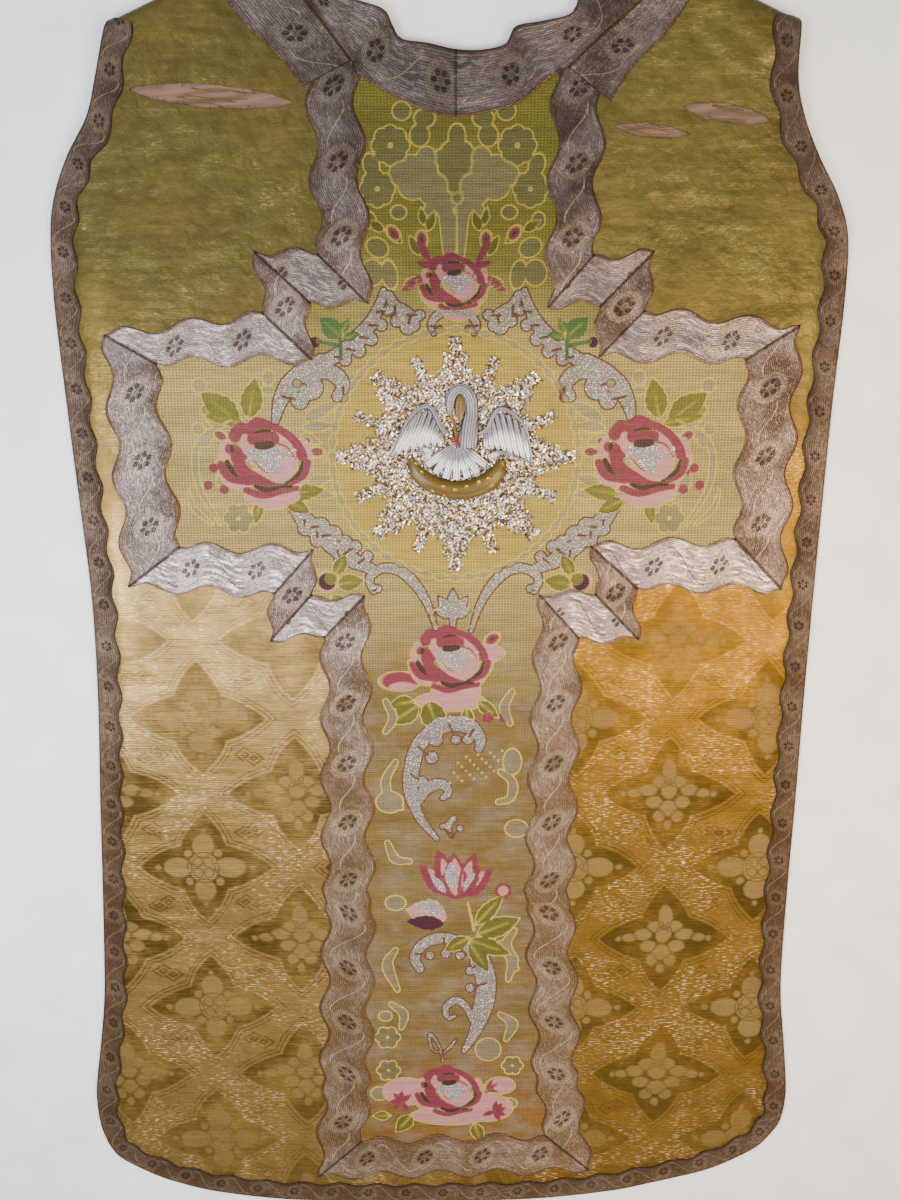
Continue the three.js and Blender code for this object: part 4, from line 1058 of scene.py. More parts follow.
def fan(centre, near, far, first, last, count, width, tip=0.35):
    # strips laid side by side from one point
    strips = []
    for k in range(count):
        t = math.radians(first + (last - first) * (k + 0.5) / count)
        c, s = math.cos(t), math.sin(t)
        strips.append([(centre[0] + c * d, centre[1] + s * d, w) for d, w in
                       ((near, width * 0.35), (near + (far - near) * 0.45, width), (far * 0.93, width * 0.8),
                        (far, width * tip))])
    return strips


wings = {
    "pelican_wing_left": {
        "rim": [(-7.6, 19.4, 1.7), (-12.9, 26.7, 1.9), (-17.4, 36.7, 1.9), (-21.5, 42.2, 1.8), (-27.2, 43, 1.7),
                (-34.4, 38.6, 1.4), (-41.5, 30.3, 1.2), (-47.8, 17.6, 1.1), (-55.8, 1.1, .8)],
        "tips": [(-13, 8.5), (-18.5, 9.5), (-24.5, 9), (-30.5, 7.5), (-37, 6), (-43.5, 4.6), (-50, 2.8), (-55.4, .8)],
        "from": [(-11.6, 21), (-14.5, 27), (-17, 33), (-20.5, 38), (-25, 39.5), (-30, 38), (-35, 34), (-41, 27)]},
    "pelican_wing_right": {
        "rim": [(20.1, 19.4, 1.7), (27.2, 24, 1.9), (31.7, 34, 1.9), (36.2, 40, 1.8), (41.5, 41, 1.7),
                (48.7, 37.4, 1.4), (55.8, 31, 1.2), (62, 21, 1.1), (66.2, -4.3, .8)],
        "tips": [(27, 7), (32, 7), (37.5, 6.5), (43, 5.2), (48.5, 3.4), (54, 1.4), (59.5, -1), (65.4, -4)],
        "from": [(26.6, 20), (29.6, 25), (32, 31), (35.5, 36), (40, 37.5), (45.5, 36), (51.5, 32), (58, 25)]},
}
silverPieces = []
for name, wing in wings.items():
    feathers = []
    for (x0, y0), (x1, y1) in zip(wing["from"], wing["tips"]):
        mx, my = (x0 + x1) / 2, (y0 + y1) / 2
        feathers.append([(x0, y0, 1.8), (mx, my + 1, 2.9), (x1 + (mx - x1) * 0.25, y1 + 4, 2.9), (x1, y1, 1.2)])
    bone = [(x, y, r * 1.15, 1.5) for x, y, r in wing["rim"]]
    piece = paddedStrips(name + "_pads", [bone] + feathers, plump=0.6)
    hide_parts(name)
    silverPieces.append(piece)
body = paddedStrips("pelican_body_pads", [
    [(11, 8, 8), (11.5, 16, 9), (12.6, 26, 7.6), (14.2, 38, 5.8), (13.2, 49, 5.8), (8.6, 56, 5.2), (2.4, 57.6, 4.8),
     (-2.6, 53, 4.6), (-4.6, 46.5, 4.2), (-4.6, 40, 3), (-3.6, 35.6, 1.4)],
    [(-33, 9, 1), (-27, 7, 2.6), (-20, 3.4, 3)], [(-31, 4, 1), (-25, 1.6, 2.4), (-20, -2, 2.2)],
    [(44, 4, 1), (37, 2.6, 2.6), (29, -.4, 3)],
], plump=0.62)
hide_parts("pelican_body")
silverPieces.append(body)
chicks = paddedStrips("chick_fan_pads", fan((1, 12.5), 5, 32, 209, 331, 7, 4.1, 0.8), plump=0.55,
                      base=bird["base"] + 0.4)
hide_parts("chick_fan")
silverPieces.append(chicks)
stitches = paddedStrips("breast_stitches", [
    [(1.4 + 0.3 * math.cos(t), 14 + 0.3 * math.sin(t), 0.8, 2.6),
     (1.4 + reach * math.cos(t), 14 + reach * math.sin(t), 0.8, 1.8)]
    for t, reach in zip(np.linspace(0, 2 * math.pi, 9, endpoint=False), (5, 4, 4.6, 4, 5.4, 4, 4.4, 4, 9))], plump=0.6)
beak = paddedStrips("beak_strip", [[(-3.8, 37, 1.5, 0), (-1.6, 30, 1.4, 0.4), (0, 23, 1.1, 1.8),
                                                 (1, 17, 0.5, 3.4)]], plump=0.8)
eye = paddedStrips("eye_bead", [[(-6.2, 45, 0.3, 1.6), (-5.7, 45, 1.1, 1.8), (-5.1, 45, 1.1, 1.9),
                                               (-4.6, 45, 0.3, 1.9)]], plump=1.0)
throat = paddedStrips("throat_patch", [[(4.6, 30, .5), (4, 36, 3.4), (4.4, 43, 4.6), (4.6, 49, 4),
                                                     (4.4, 53, 1)]], plump=0.2, base=bird["base"] - 0.3)
nest = paddedStrips("nest_pad", [
    [(-38.5, -1, 2.2), (-34, -12, 6), (-24.5, -21, 7.5), (-13, -26.5, 7.7), (1, -28.7, 7.8), (15, -27.5, 8.2),
     (27.5, -22, 8.4), (37, -13, 7), (42, -3, 3)]], plump=0.75)
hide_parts("nest")
print("pelican and nest laid on")

# sequins on the nest: one cupped disc, copied
sequins = [(416, 464), (422, 472), (443.5, 486), (466.5, 486), (488, 478), (501.7, 464.4), (444.8, 493.8),
           (433, 489), (491, 484), (478.6, 481.6), (455, 489)]
bpy.ops.object.select_all(action="DESELECT")
bpy.ops.mesh.primitive_cylinder_add(vertices=12, radius=1.9 * mm, depth=0.4 * mm, location=(0, 0, 0))
firstSequin = bpy.context.object
bpy.ops.object.mode_set(mode="EDIT")
bpy.ops.mesh.select_mode(type="FACE")
bpy.ops.mesh.select_all(action="DESELECT")
bpy.ops.object.mode_set(mode="OBJECT")
for face in firstSequin.data.polygons:
    face.select = face.normal.z > 0.9
bpy.ops.object.mode_set(mode="EDIT")
bpy.ops.mesh.inset(thickness=0.5 * mm)
bpy.ops.mesh.inset(thickness=0.6 * mm)
bpy.ops.transform.translate(value=(0, 0, -0.25 * mm))
bpy.ops.object.mode_set(mode="OBJECT")
sequinPieces = []
for k, (px, py) in enumerate(sequins):
    x, y = spot(px, py)
    hit, point, normal, face = nest.ray_cast((x * mm, y * mm, 0.1), (0, 0, -1))
    if not hit:
        continue
    sequin = firstSequin.copy()
    sequin.data = firstSequin.data.copy()
    bpy.context.collection.objects.link(sequin)
    sequin.name = f"sequin_{k + 1}"
    sequin.location = point + normal * 0.3 * mm
    sequin.rotation_euler = normal.to_track_quat("Z", "Y").to_euler()
    pick(sequin)
    bpy.ops.object.transform_apply(location=True, rotation=True, scale=True)
    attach(sequin, "root")
    sequinPieces.append(sequin)
bpy.data.objects.remove(firstSequin)


def addTube(verts, faces, line, thick, high, across):
    # a five-sided thread along a line; across is the way its width lies
    start = len(verts)
    for x, y in line:
        for q in range(5):
            w = 2 * math.pi * q / 5
            side = thick * math.cos(w)
            verts.append((x + across[0] * side, y + across[1] * side, high + thick * math.sin(w)))
    for k in range(len(line) - 1):
        a = start + 5 * k
        faces += [[a + q, a + (q + 1) % 5, a + 5 + (q + 1) % 5, a + 5 + q] for q in range(5)]
    faces += [[start + q for q in range(5)][::-1], [start + 5 * (len(line) - 1) + q for q in range(5)]]


# loose weft threads across the rips, and short torn warp ends that reach in from both edges
looseThread = {"wefts": 6, "weftHeight": 0.35, "warpHeight": 0.5}
threads = {}
for name, rip in rips.items():
    verts, faces = [], []
    t = math.radians(rip["turn"])
    turnedBy = np.array([[math.cos(t), math.sin(t)], [-math.sin(t), math.cos(t)]])
    for k in range(looseThread["wefts"]):
        level = rip["high"] * rng.uniform(-0.75, 0.75)
        reach = rip["long"] * 0.9 * math.sqrt(max(0.05, 1 - (abs(level) / rip["high"]) ** 0.75))
        middle = rng.uniform(-0.25, 0.25) * reach
        span = reach * rng.uniform(0.45, 0.98)
        s = np.linspace(-1, 1, 18)
        u = np.clip(middle + s * span, -reach, reach)
        v = level + 0.8 * np.sin(s * rng.uniform(1.5, 4) + rng.uniform(0, 6))
        line = rip["at"] + np.stack([u, v], 1) @ turnedBy
        addTube(verts, faces, line, rng.uniform(0.18, 0.34), looseThread["weftHeight"], (0, 1))
    for k in range(int(rip["long"] * 0.6)):
        along = rng.uniform(-0.9, 0.9)
        wide = math.sqrt(1 - along ** 2)
        edge = rip["high"] * wide * (0.55 + 0.45 * wide) * (1 if k % 2 else -1)
        s = np.linspace(-0.12, rng.uniform(0.10, 0.45), 7)
        u = along * rip["long"] + rng.uniform(-3.0, 3.0) * s ** 2
        line = rip["at"] + np.stack([u, edge * (1 - s)], 1) @ turnedBy
        addTube(verts, faces, line, rng.uniform(0.12, 0.22), looseThread["warpHeight"], (1, 0))
    verts = np.array(verts)
    threads[name] = makePiece("loose_threads_" + name, onBack(verts[:, 0], verts[:, 1], verts[:, 2]), faces)
    closeUp(threads[name])
print("sequins and threads done")


def streaksOf(put, place, stretch, detail, rough=0.5):
    # cloudy streaks in a cloth; stretch is how many come to a millimetre, across and up
    place = put("VectorMath.MULTIPLY", place, (*stretch, 0.0))
    return put("TexNoise", {"Vector": place, "Scale": 1.0, "Detail": detail, "Roughness": rough}).outputs["Fac"]


def lineMask(put, value, centre, half, soft):
    # a thin woven outline: 1 where the value is near its centre, and 0 away from it
    gap = put("Math.ABSOLUTE", put("Math.SUBTRACT", value, centre))
    return put("MapRange", {"Value": gap, "From Min": half, "From Max": half + soft, "To Min": 1.0, "To Max": 0.0})


# woven silk and metal-thread brocade, old and rubbed: a soft broad sheen, its pattern paler or darker as it is worn
brocadeLook = {
    "repeat": (174, 147), "centre": (-235, -218.6),
    "ground": "6f5420", "warmGround": "5f4207", "petal": "4a380c", "band": "866a3c", "warmBand": "775a1a",
    "motif": "866c3e", "glint": "ddc9ae", "oldGlint": "9a9058", "olive": "4e4620", "tan": "ac8d56", "gold": "9c6c0c",
    "rough": 0.42, "metal": 0.45, "specular": 0.15,
    # each pair of petals is the overlap of two wide circles: how far their centres lie away, and their radius
    "tallPetals": (45.8, 70.8), "widePetals": (68.1, 92.1),
    # small nested lozenges between the medallions: place and half sizes
    "lozenge": (39.0, 35.0, 10.0, 7.0),
    # blossoms inside the medallions: x, y, half sizes; a round one and a leafy one take turns
    "blossoms": (
        [(0, 0, 15, 15), (0, 22, 11, 12), (25, 0, 14, 10), (0, -22, 11, 11), (15, 14, 4, 4), (15, -14, 4, 4),
         (0, 37, 2.6, 3), (44, 0, 3.4, 3), (0, -37, 2.6, 3), (5.2, 5.2, 4.6, 4.6), (5.2, -5.2, 4.6, 4.6)],
        [(0, 4, 8, 9), (0, 22, 7, 13), (9, 12, 8, 6), (20, 4, 9, 6), (33, 1, 7, 4.5), (14, -8, 8, 6),
         (0, -14, 9, 8), (9, -22, 6, 6), (0, -31, 4, 5), (43, 0, 3, 3)]),
}


def brocadeMaterial(look):
    material, tree, shader, garment = newMaterial("worn_silk_brocade")
    put = partial(addNode, tree)
    xyz = put("SeparateXYZ", garment).outputs
    halfX, halfY = look["repeat"][0] / 2, look["repeat"][1] / 2
    # old cloth is a little out of true, and the weft draws its outlines into short steps
    drift = put("TexNoise", {"Vector": garment, "Scale": 0.012, "Detail": 1.0})
    steps = streaksOf(put, garment, (0.05, 0.7), 1.0)
    bentX = put("Math.MULTIPLY_ADD", drift.outputs["Fac"], 14.0, put("Math.SUBTRACT", xyz[0], look["centre"][0] + 8.5))
    bentX = put("Math.MULTIPLY_ADD", steps, 3.0, bentX)
    bentY = put("Math.SUBTRACT", xyz[1], look["centre"][1])
    x = put("Math.WRAP", bentX, halfX, -halfX)
    y = put("Math.WRAP", bentY, halfY, -halfY)
    # half drop: past the diamond between neighbours, count from the next medallion
    away = put("Math.ADD", put("Math.DIVIDE", put("Math.ABSOLUTE", x), halfX),
               put("Math.DIVIDE", put("Math.ABSOLUTE", y), halfY))
    past = put("Math.GREATER_THAN", away, 1.0)
    x = put("Math.SUBTRACT", x, put("Math.MULTIPLY", put("Math.MULTIPLY", put("Math.SIGN", x), halfX), past))
    y = put("Math.SUBTRACT", y, put("Math.MULTIPLY", put("Math.MULTIPLY", put("Math.SIGN", y), halfY), past))
    ax, ay = put("Math.ABSOLUTE", x), put("Math.ABSOLUTE", y)
    tall = put("CombineXYZ", put("Math.ADD", ax, look["tallPetals"][0]), y)
    wide = put("CombineXYZ", x, put("Math.ADD", ay, look["widePetals"][0]))
    tall = put("Math.SUBTRACT", put("VectorMath.LENGTH", tall).outputs["Value"], look["tallPetals"][1])
    wide = put("Math.SUBTRACT", put("VectorMath.LENGTH", wide).outputs["Value"], look["widePetals"][1])
    petals = put("Math.MINIMUM", tall, wide)
    motifs, rings = [], []
    for parts in look["blossoms"]:
        motif, ring = None, None
        for mx, my, rx, ry in parts:
            px = put("Math.DIVIDE", put("Math.SUBTRACT", ax, float(mx)), float(rx))
            py = put("Math.DIVIDE", put("Math.SUBTRACT", y, float(my)), float(ry))
            far = put("VectorMath.LENGTH", put("CombineXYZ", px, py)).outputs["Value"]
            far = put("Math.MULTIPLY", put("Math.SUBTRACT", far, 1.0), float(min(rx, ry)))
            motif = far if motif is None else put("Math.MINIMUM", motif, far)
            near = put("Math.ABSOLUTE", far)
            ring = near if ring is None else put("Math.MINIMUM", ring, near)
        motifs.append(motif)
        rings.append(ring)
    motif = put("Mix", {"Factor": past, "A": motifs[0], "B": motifs[1]})
    ring = put("Mix", {"Factor": past, "A": rings[0], "B": rings[1]})
    lozengeX, lozengeY, lozengeWide, lozengeHigh = look["lozenge"]
    sideways = put("Math.DIVIDE", put("Math.ABSOLUTE", put("Math.SUBTRACT", ax, lozengeX)), lozengeWide)
    upwards = put("Math.DIVIDE", put("Math.ABSOLUTE", put("Math.SUBTRACT", ay, lozengeY)), lozengeHigh)
    lozenge = put("Math.ADD", sideways, upwards)
    inPetal = put("MapRange", {"Value": petals, "From Min": -0.7, "From Max": 0.7, "To Min": 1.0, "To Max": 0.0})
    inMotif = put("MapRange", {"Value": motif, "From Min": -0.6, "From Max": 0.6, "To Min": 1.0, "To Max": 0.0})
    lines = put("Math.MAXIMUM", lineMask(put, petals, 3.4, 0.45, 0.7), lineMask(put, petals, 7.0, 0.3, 0.7))
    lines = put("Math.MAXIMUM", lines, lineMask(put, lozenge, 1.0, 0.08, 0.14))
    lines = put("Math.MAXIMUM", lines, lineMask(put, lozenge, 0.35, 0.1, 0.14))
    ring = put("MapRange", {"Value": ring, "From Min": 0.35, "From Max": 1.0, "To Min": 0.9, "To Max": 0.0})
    lines = put("Math.MAXIMUM", lines, put("Math.MULTIPLY", ring, inMotif))
    # ground colours over the garment: darker olive at the top, partly painted shade; lighter tan across the middle,
    # partly painted sheen; warmer gold on the right, painted warm light; a little paler at the top right
    broad = put("TexNoise", {"Vector": garment, "Scale": 0.006, "Detail": 3.0, "Roughness": 0.6}).outputs["Fac"]
    high = put("MapRange", {"Value": put("Math.MULTIPLY_ADD", broad, 160.0, xyz[1]), "From Min": 160.0,
                            "From Max": 400.0})
    middle = put("MapRange", {"Value": put("Math.ABSOLUTE", put("Math.SUBTRACT", xyz[1], 20.0)), "From Min": 60.0,
                              "From Max": 220.0, "To Min": 1.0, "To Max": 0.0})
    right = put("MapRange", {"Value": xyz[0], "From Min": -60.0, "From Max": 60.0})
    warm = put("Mix.RGBA", right, shade(look["tan"]), shade(look["gold"]))
    low = put("Mix.RGBA", right, shade(look["ground"]), shade(look["warmGround"]))
    ground = put("Mix.RGBA", put("Math.MULTIPLY", middle, 0.8), low, warm)
    ground = put("Mix.RGBA", high, ground, shade(look["olive"]))
    ground = put("Mix.RGBA", put("Math.MULTIPLY", put("Math.MULTIPLY", right, high), 0.13), ground,
                 shade(look["oldGlint"]))
    # wear hides the pattern in patches and nearly all of it at the top
    streak = streaksOf(put, garment, (0.035, 0.55), 4.0, 0.65)
    patch = put("TexNoise", {"Vector": garment, "Scale": 0.016, "Detail": 4.0, "Roughness": 0.7}).outputs["Fac"]
    low = put("MapRange", {"Value": put("Math.MULTIPLY_ADD", broad, 120.0, xyz[1]), "From Min": -90.0,
                           "From Max": 190.0, "To Min": 0.95, "To Max": 0.14})
    foot = put("MapRange", {"Value": xyz[1], "From Min": -560.0, "From Max": -380.0, "To Min": 0.55, "To Max": 1.0})
    low = put("Math.MULTIPLY", low, foot)
    bare = put("Math.MULTIPLY_ADD", streak, 0.5, patch)
    bare = put("MapRange", {"Value": bare, "From Min": 0.66, "From Max": 0.90, "To Min": 1.0, "To Max": 0.3})
    clear = put("Math.MULTIPLY", low, bare)
    # the bands are warmer on the right as well: painted warm light
    colour = put("Mix.RGBA", put("Math.MULTIPLY", clear, 0.7), ground,
                 put("Mix.RGBA", right, shade(look["band"]), shade(look["warmBand"])))
    colour = put("Mix.RGBA", put("Math.MULTIPLY", clear, inPetal), colour, shade(look["petal"]))
    colour = put("Mix.RGBA", put("Math.MULTIPLY", clear, inMotif), colour, shade(look["motif"]))
    colour = put("Mix.RGBA", put("Math.MULTIPLY", put("Math.MULTIPLY", clear, lines), 0.75), colour,
                 shade(look["petal"]))
    # bright scraps of the metal weft that is left, their pale colour partly painted glints
    weftScrapGlint = streaksOf(put, garment, (0.16, 0.95), 2.0)
    weftScrapGlint = put("Math.MULTIPLY", put("MapRange", {"Value": weftScrapGlint, "From Min": 0.56, "From Max": 0.66}),
                put("MapRange", {"Value": patch, "From Min": 0.40, "From Max": 0.60}))
    weftScrapGlint = put("Math.MULTIPLY", weftScrapGlint, put("MapRange", {"Value": inPetal, "To Min": 1.0, "To Max": 0.15}))
    # the rubbed top keeps them in small clusters
    blotch = put("TexNoise", {"Vector": garment, "Scale": 0.055, "Detail": 3.0, "Roughness": 0.6}).outputs["Fac"]
    clusters = put("MapRange", {"Value": blotch, "From Min": 0.52, "From Max": 0.60})
    weftScrapGlint = put("Math.MULTIPLY", weftScrapGlint, put("Mix", {"Factor": high, "A": 1.0, "B": clusters}))
    weftScrapGlint = put("Math.MULTIPLY", weftScrapGlint, put("MapRange", {"Value": high, "To Min": 0.62, "To Max": 0.55}))
    colour = put("Mix.RGBA", weftScrapGlint, colour, put("Mix.RGBA", high, shade(look["glint"]), shade(look["oldGlint"])))
    blotch = put("Math.MULTIPLY_ADD", blotch, 0.46, put("Math.MULTIPLY", streak, 0.12))
    rub = put("Mix", {"Factor": high, "A": put("Math.MULTIPLY", streak, 0.6), "B": blotch})
    tone = put("MapRange", {"Value": put("Math.MULTIPLY_ADD", patch, 0.7, rub), "From Min": 0.40, "From Max": 0.90,
                            "To Min": 0.60, "To Max": 1.42})
    # the strips outside the arms are made lighter near the middle: painted sheen
    beside = put("MapRange", {"Value": put("Math.ABSOLUTE", xyz[0]), "From Min": 283.0, "From Max": 300.0})
    reach = put("Math.ABSOLUTE", put("Math.SUBTRACT", xyz[1], 150.0))
    reach = put("MapRange", {"Value": reach, "From Min": 110.0, "From Max": 190.0, "To Min": 0.65, "To Max": 0.0})
    beside = put("Math.MULTIPLY", beside, reach)
    tone = put("Math.MULTIPLY", tone, put("Math.ADD", beside, 1.0))
    colour = put("VectorMath.SCALE", colour, tone)
    tree.links.new(colour.outputs[0], shader.inputs["Base Color"])
    # weft ribs, drawn at 2.2 mm where the real ones are under 0.5 mm, so that they show
    weave = put("TexWave", {"Vector": garment, "Scale": 0.14, "Distortion": 2.5, "Detail": 2.0, "Detail Scale": 0.6},
                bands_direction="Y")
    crumple = put("TexNoise", {"Vector": garment, "Scale": 0.09, "Detail": 4.0, "Roughness": 0.55}).outputs["Fac"]
    streaks = put("Math.MULTIPLY", streak, put("MapRange", {"Value": high, "To Min": 0.35, "To Max": 0.12}))
    ribs = put("Math.MULTIPLY", weave.outputs["Fac"], put("MapRange", {"Value": high, "To Min": 0.10, "To Max": 0.03}))
    height = put("Math.ADD", ribs, streaks)
    height = put("Math.MULTIPLY_ADD", crumple, put("MapRange", {"Value": high, "To Min": 1.1, "To Max": 2.3}), height)
    wrinkle = streaksOf(put, garment, (0.011, 0.045), 2.0)
    height = put("Math.MULTIPLY_ADD", wrinkle, 3.4, height)
    height = put("Math.MULTIPLY_ADD", put("Math.MULTIPLY", inPetal, clear), -0.16, height)
    relief = put("Bump", {"Height": height, "Distance": 0.0012, "Strength": 0.75})
    tree.links.new(relief.outputs[0], shader.inputs["Normal"])
    rough = put("MapRange", {"Value": put("Math.MULTIPLY_ADD", inPetal, 0.2, streak), "From Min": 0.3,
                             "From Max": 0.9, "To Min": look["rough"] - 0.08, "To Max": look["rough"] + 0.18})
    tree.links.new(rough.outputs[0], shader.inputs["Roughness"])
    shader.inputs["Metallic"].default_value = look["metal"]
    shader.inputs["Specular IOR Level"].default_value = look["specular"]
    return material


# figured silk woven with a fine net ground and laid metal thread: nearly matt, with glittering silver parts
orphreyLook = {
    "high": "77721c", "mid": "ab9556", "low": "705626", "foot": "785018", "net": "544a28", "edge": "bba63e",
    "veil": "857a72", "grey": "5a5a40", "lace": "7d7566", "silver": "746a66", "rust": "57351f", "leaf": "4e500c",
    "green": "2f5a2c", "pink": "b97c80", "red": "73233a", "dark": "2e1219", "glitter": "857a80",
    "purple": "360a26", "pale": "b5a04a", "halo": "a78a1e", "topTone": 0.58, "specular": 0.2,
}


def orphreyMaterial(look):
    material, tree, shader, garment = newMaterial("figured_silk")
    put = partial(addNode, tree)
    xyz = put("SeparateXYZ", garment).outputs
    cloud = put("TexNoise", {"Vector": garment, "Scale": 0.014, "Detail": 3.0}).outputs["Fac"]
    rise = put("Math.MULTIPLY_ADD", cloud, 90.0, xyz[1])
    top = put("MapRange", {"Value": rise, "From Min": 300.0, "From Max": 390.0})
    lower = put("MapRange", {"Value": rise, "From Min": 110.0, "From Max": -20.0})
    foot = put("MapRange", {"Value": rise, "From Min": -330.0, "From Max": -450.0})
    colour = put("Mix.RGBA", top, shade(look["mid"]), shade(look["high"]))
    colour = put("Mix.RGBA", lower, colour, shade(look["low"]))
    colour = put("Mix.RGBA", foot, colour, shade(look["foot"]))
    # faded bands across the lower arm
    band = streaksOf(put, garment, (0.006, 0.045), 3.0)
    tone = put("MapRange", {"Value": band, "From Min": 0.3, "From Max": 0.7, "To Min": 0.80, "To Max": 1.16})
    colour = put("VectorMath.SCALE", colour, tone)
    # net ground of 2.8 mm cells
    net = put("VectorMath.MULTIPLY", garment, (0.36, 0.42, 0.0))
    net = put("TexVoronoi", {"Vector": net, "Scale": 1.0, "Randomness": 0.25}, feature="DISTANCE_TO_EDGE",
              voronoi_dimensions="2D")
    holes = put("MapRange", {"Value": net, "From Min": 0.12, "From Max": 0.3})
    colour = put("Mix.RGBA", put("Math.MULTIPLY", holes, 0.6), colour, shade(look["net"]))
    # clouds of the grey weft below
    veil = streaksOf(put, garment, (0.03, 0.045), 4.0, 0.65)
    veil = put("MapRange", {"Value": veil, "From Min": 0.44, "From Max": 0.66, "To Max": 0.42})
    colour = put("Mix.RGBA", put("Math.MULTIPLY", veil, lower), colour, shade(look["veil"]))
    field = {key: put("Attribute", attribute_name=key).outputs["Fac"] for key in paint}
    around = put("MapRange", {"Value": field["halo"], "From Min": -0.12, "From Max": 0.12, "To Max": 0.55})
    colour = put("Mix.RGBA", around, colour, shade(look["halo"]))
    silky = put("TexWave", {"Vector": garment, "Scale": 0.16, "Distortion": 3.0}, bands_direction="Y").outputs["Fac"]
    glint = put("TexNoise", {"Vector": garment, "Scale": 0.8, "Detail": 2.0}).outputs["Fac"]
    glint = put("MapRange", {"Value": glint, "From Min": 0.56, "From Max": 0.63})
    # outlines of a lighter or darker thread round each woven part
    for key, code, half in (("grey", "edge", 0.45), ("lace", "edge", 0.4), ("silver", "rust", 0.5),
                            ("leaf", "edge", 0.35), ("pink", "edge", 0.2)):
        colour = put("Mix.RGBA", lineMask(put, field[key], -0.6, half, 0.5), colour, shade(look[code]))
    for key, cover in (("grey", 0.52), ("lace", 0.42), ("silver", 0.78), ("rust", 0.8), ("leaf", 0.78),
                       ("green", 0.85), ("pink", 0.8), ("red", 0.92), ("dark", 0.9), ("glitter", 0.9),
                       ("purple", 0.95), ("pale", 0.75)):
        mask = put("MapRange", {"Value": field[key], "From Min": -0.3, "From Max": 0.3, "To Max": cover})
        colour = put("Mix.RGBA", mask, colour, shade(look[key]))
        if key == "lace":
            colour = put("Mix.RGBA", put("Math.MULTIPLY", holes, 0.3), colour, shade(look["net"]))
        # silver and glitter threads get near-white specks: painted glints, made more metallic and glossy as well
        if key in ("silver", "glitter"):
            sparkle = put("Math.MULTIPLY", mask, glint)
            colour = put("Mix.RGBA", sparkle, colour, shade("f2eef0"))
            bright = sparkle if key == "silver" else put("Math.MAXIMUM", bright, sparkle)
    # slanted silk stitches in the flowers, crosswise threads and worn patches, and the top darkened with painted shade
    slant = put("TexWave", {"Vector": put("Mapping", {"Vector": garment, "Rotation": (0, 0, 0.55)}), "Scale": 0.17,
                            "Distortion": 1.2}, bands_direction="X").outputs["Fac"]
    silky = put("Mix", {"Factor": put("MapRange", {"Value": put("Math.MAXIMUM", field["pink"], field["leaf"])}),
                        "A": silky, "B": slant})
    worn = streaksOf(put, garment, (0.03, 0.3), 4.0, 0.7)
    tone = put("Math.MULTIPLY", put("MapRange", {"Value": silky, "To Min": 0.8, "To Max": 1.14}),
               put("MapRange", {"Value": worn, "From Min": 0.3, "From Max": 0.7, "To Min": 0.78, "To Max": 1.2}))
    dim = put("MapRange", {"Value": rise, "From Min": 290.0, "From Max": 370.0, "To Min": 1.0,
                           "To Max": look["topTone"]})
    colour = put("VectorMath.SCALE", colour, put("Math.MULTIPLY", tone, dim))
    shader.inputs["Specular IOR Level"].default_value = look["specular"]
    tree.links.new(colour.outputs[0], shader.inputs["Base Color"])
    tree.links.new(put("MapRange", {"Value": bright, "To Min": 0.0, "To Max": 0.85}).outputs[0],
                   shader.inputs["Metallic"])
    tree.links.new(put("MapRange", {"Value": bright, "To Min": 0.55, "To Max": 0.22}).outputs[0],
                   shader.inputs["Roughness"])
    height = put("Math.MULTIPLY_ADD", silky, 0.15, put("Math.MULTIPLY", holes, -0.25))
    height = put("Math.MULTIPLY_ADD", glint, 0.5, height)
    wide = put("TexNoise", {"Vector": garment, "Scale": 0.07, "Detail": 3.0}).outputs["Fac"]
    height = put("Math.MULTIPLY_ADD", wide, 1.1, height)
    relief = put("Bump", {"Height": height, "Distance": 0.001, "Strength": 0.6})
    tree.links.new(relief.outputs[0], shader.inputs["Normal"])
    return material


# flat metal-thread galloon, tarnished: lengthwise ribs that shine in patches, dark worn flowers
galloonLook = {
    "wide": {"repeat": 58, "ground": "4a3b33", "light": "6f5f5a", "dark": "281a14", "line": "a08c76",
             "edge": "523620", "shine": "b8a6a4", "flame": "e6dadb", "warm": "6f5530", "metal": 0.55, "rough": 0.38,
             "scale": 1.0, "top": 0.55},
    "edge": {"repeat": 38, "ground": "3f2c22", "light": "58473b", "dark": "21140e", "line": "75634e",
             "edge": "2e1c12", "shine": "7c6c62", "flame": "a09082", "warm": "4e3618", "metal": 0.40, "rough": 0.46,
             "scale": 0.6, "top": 0.8},
}


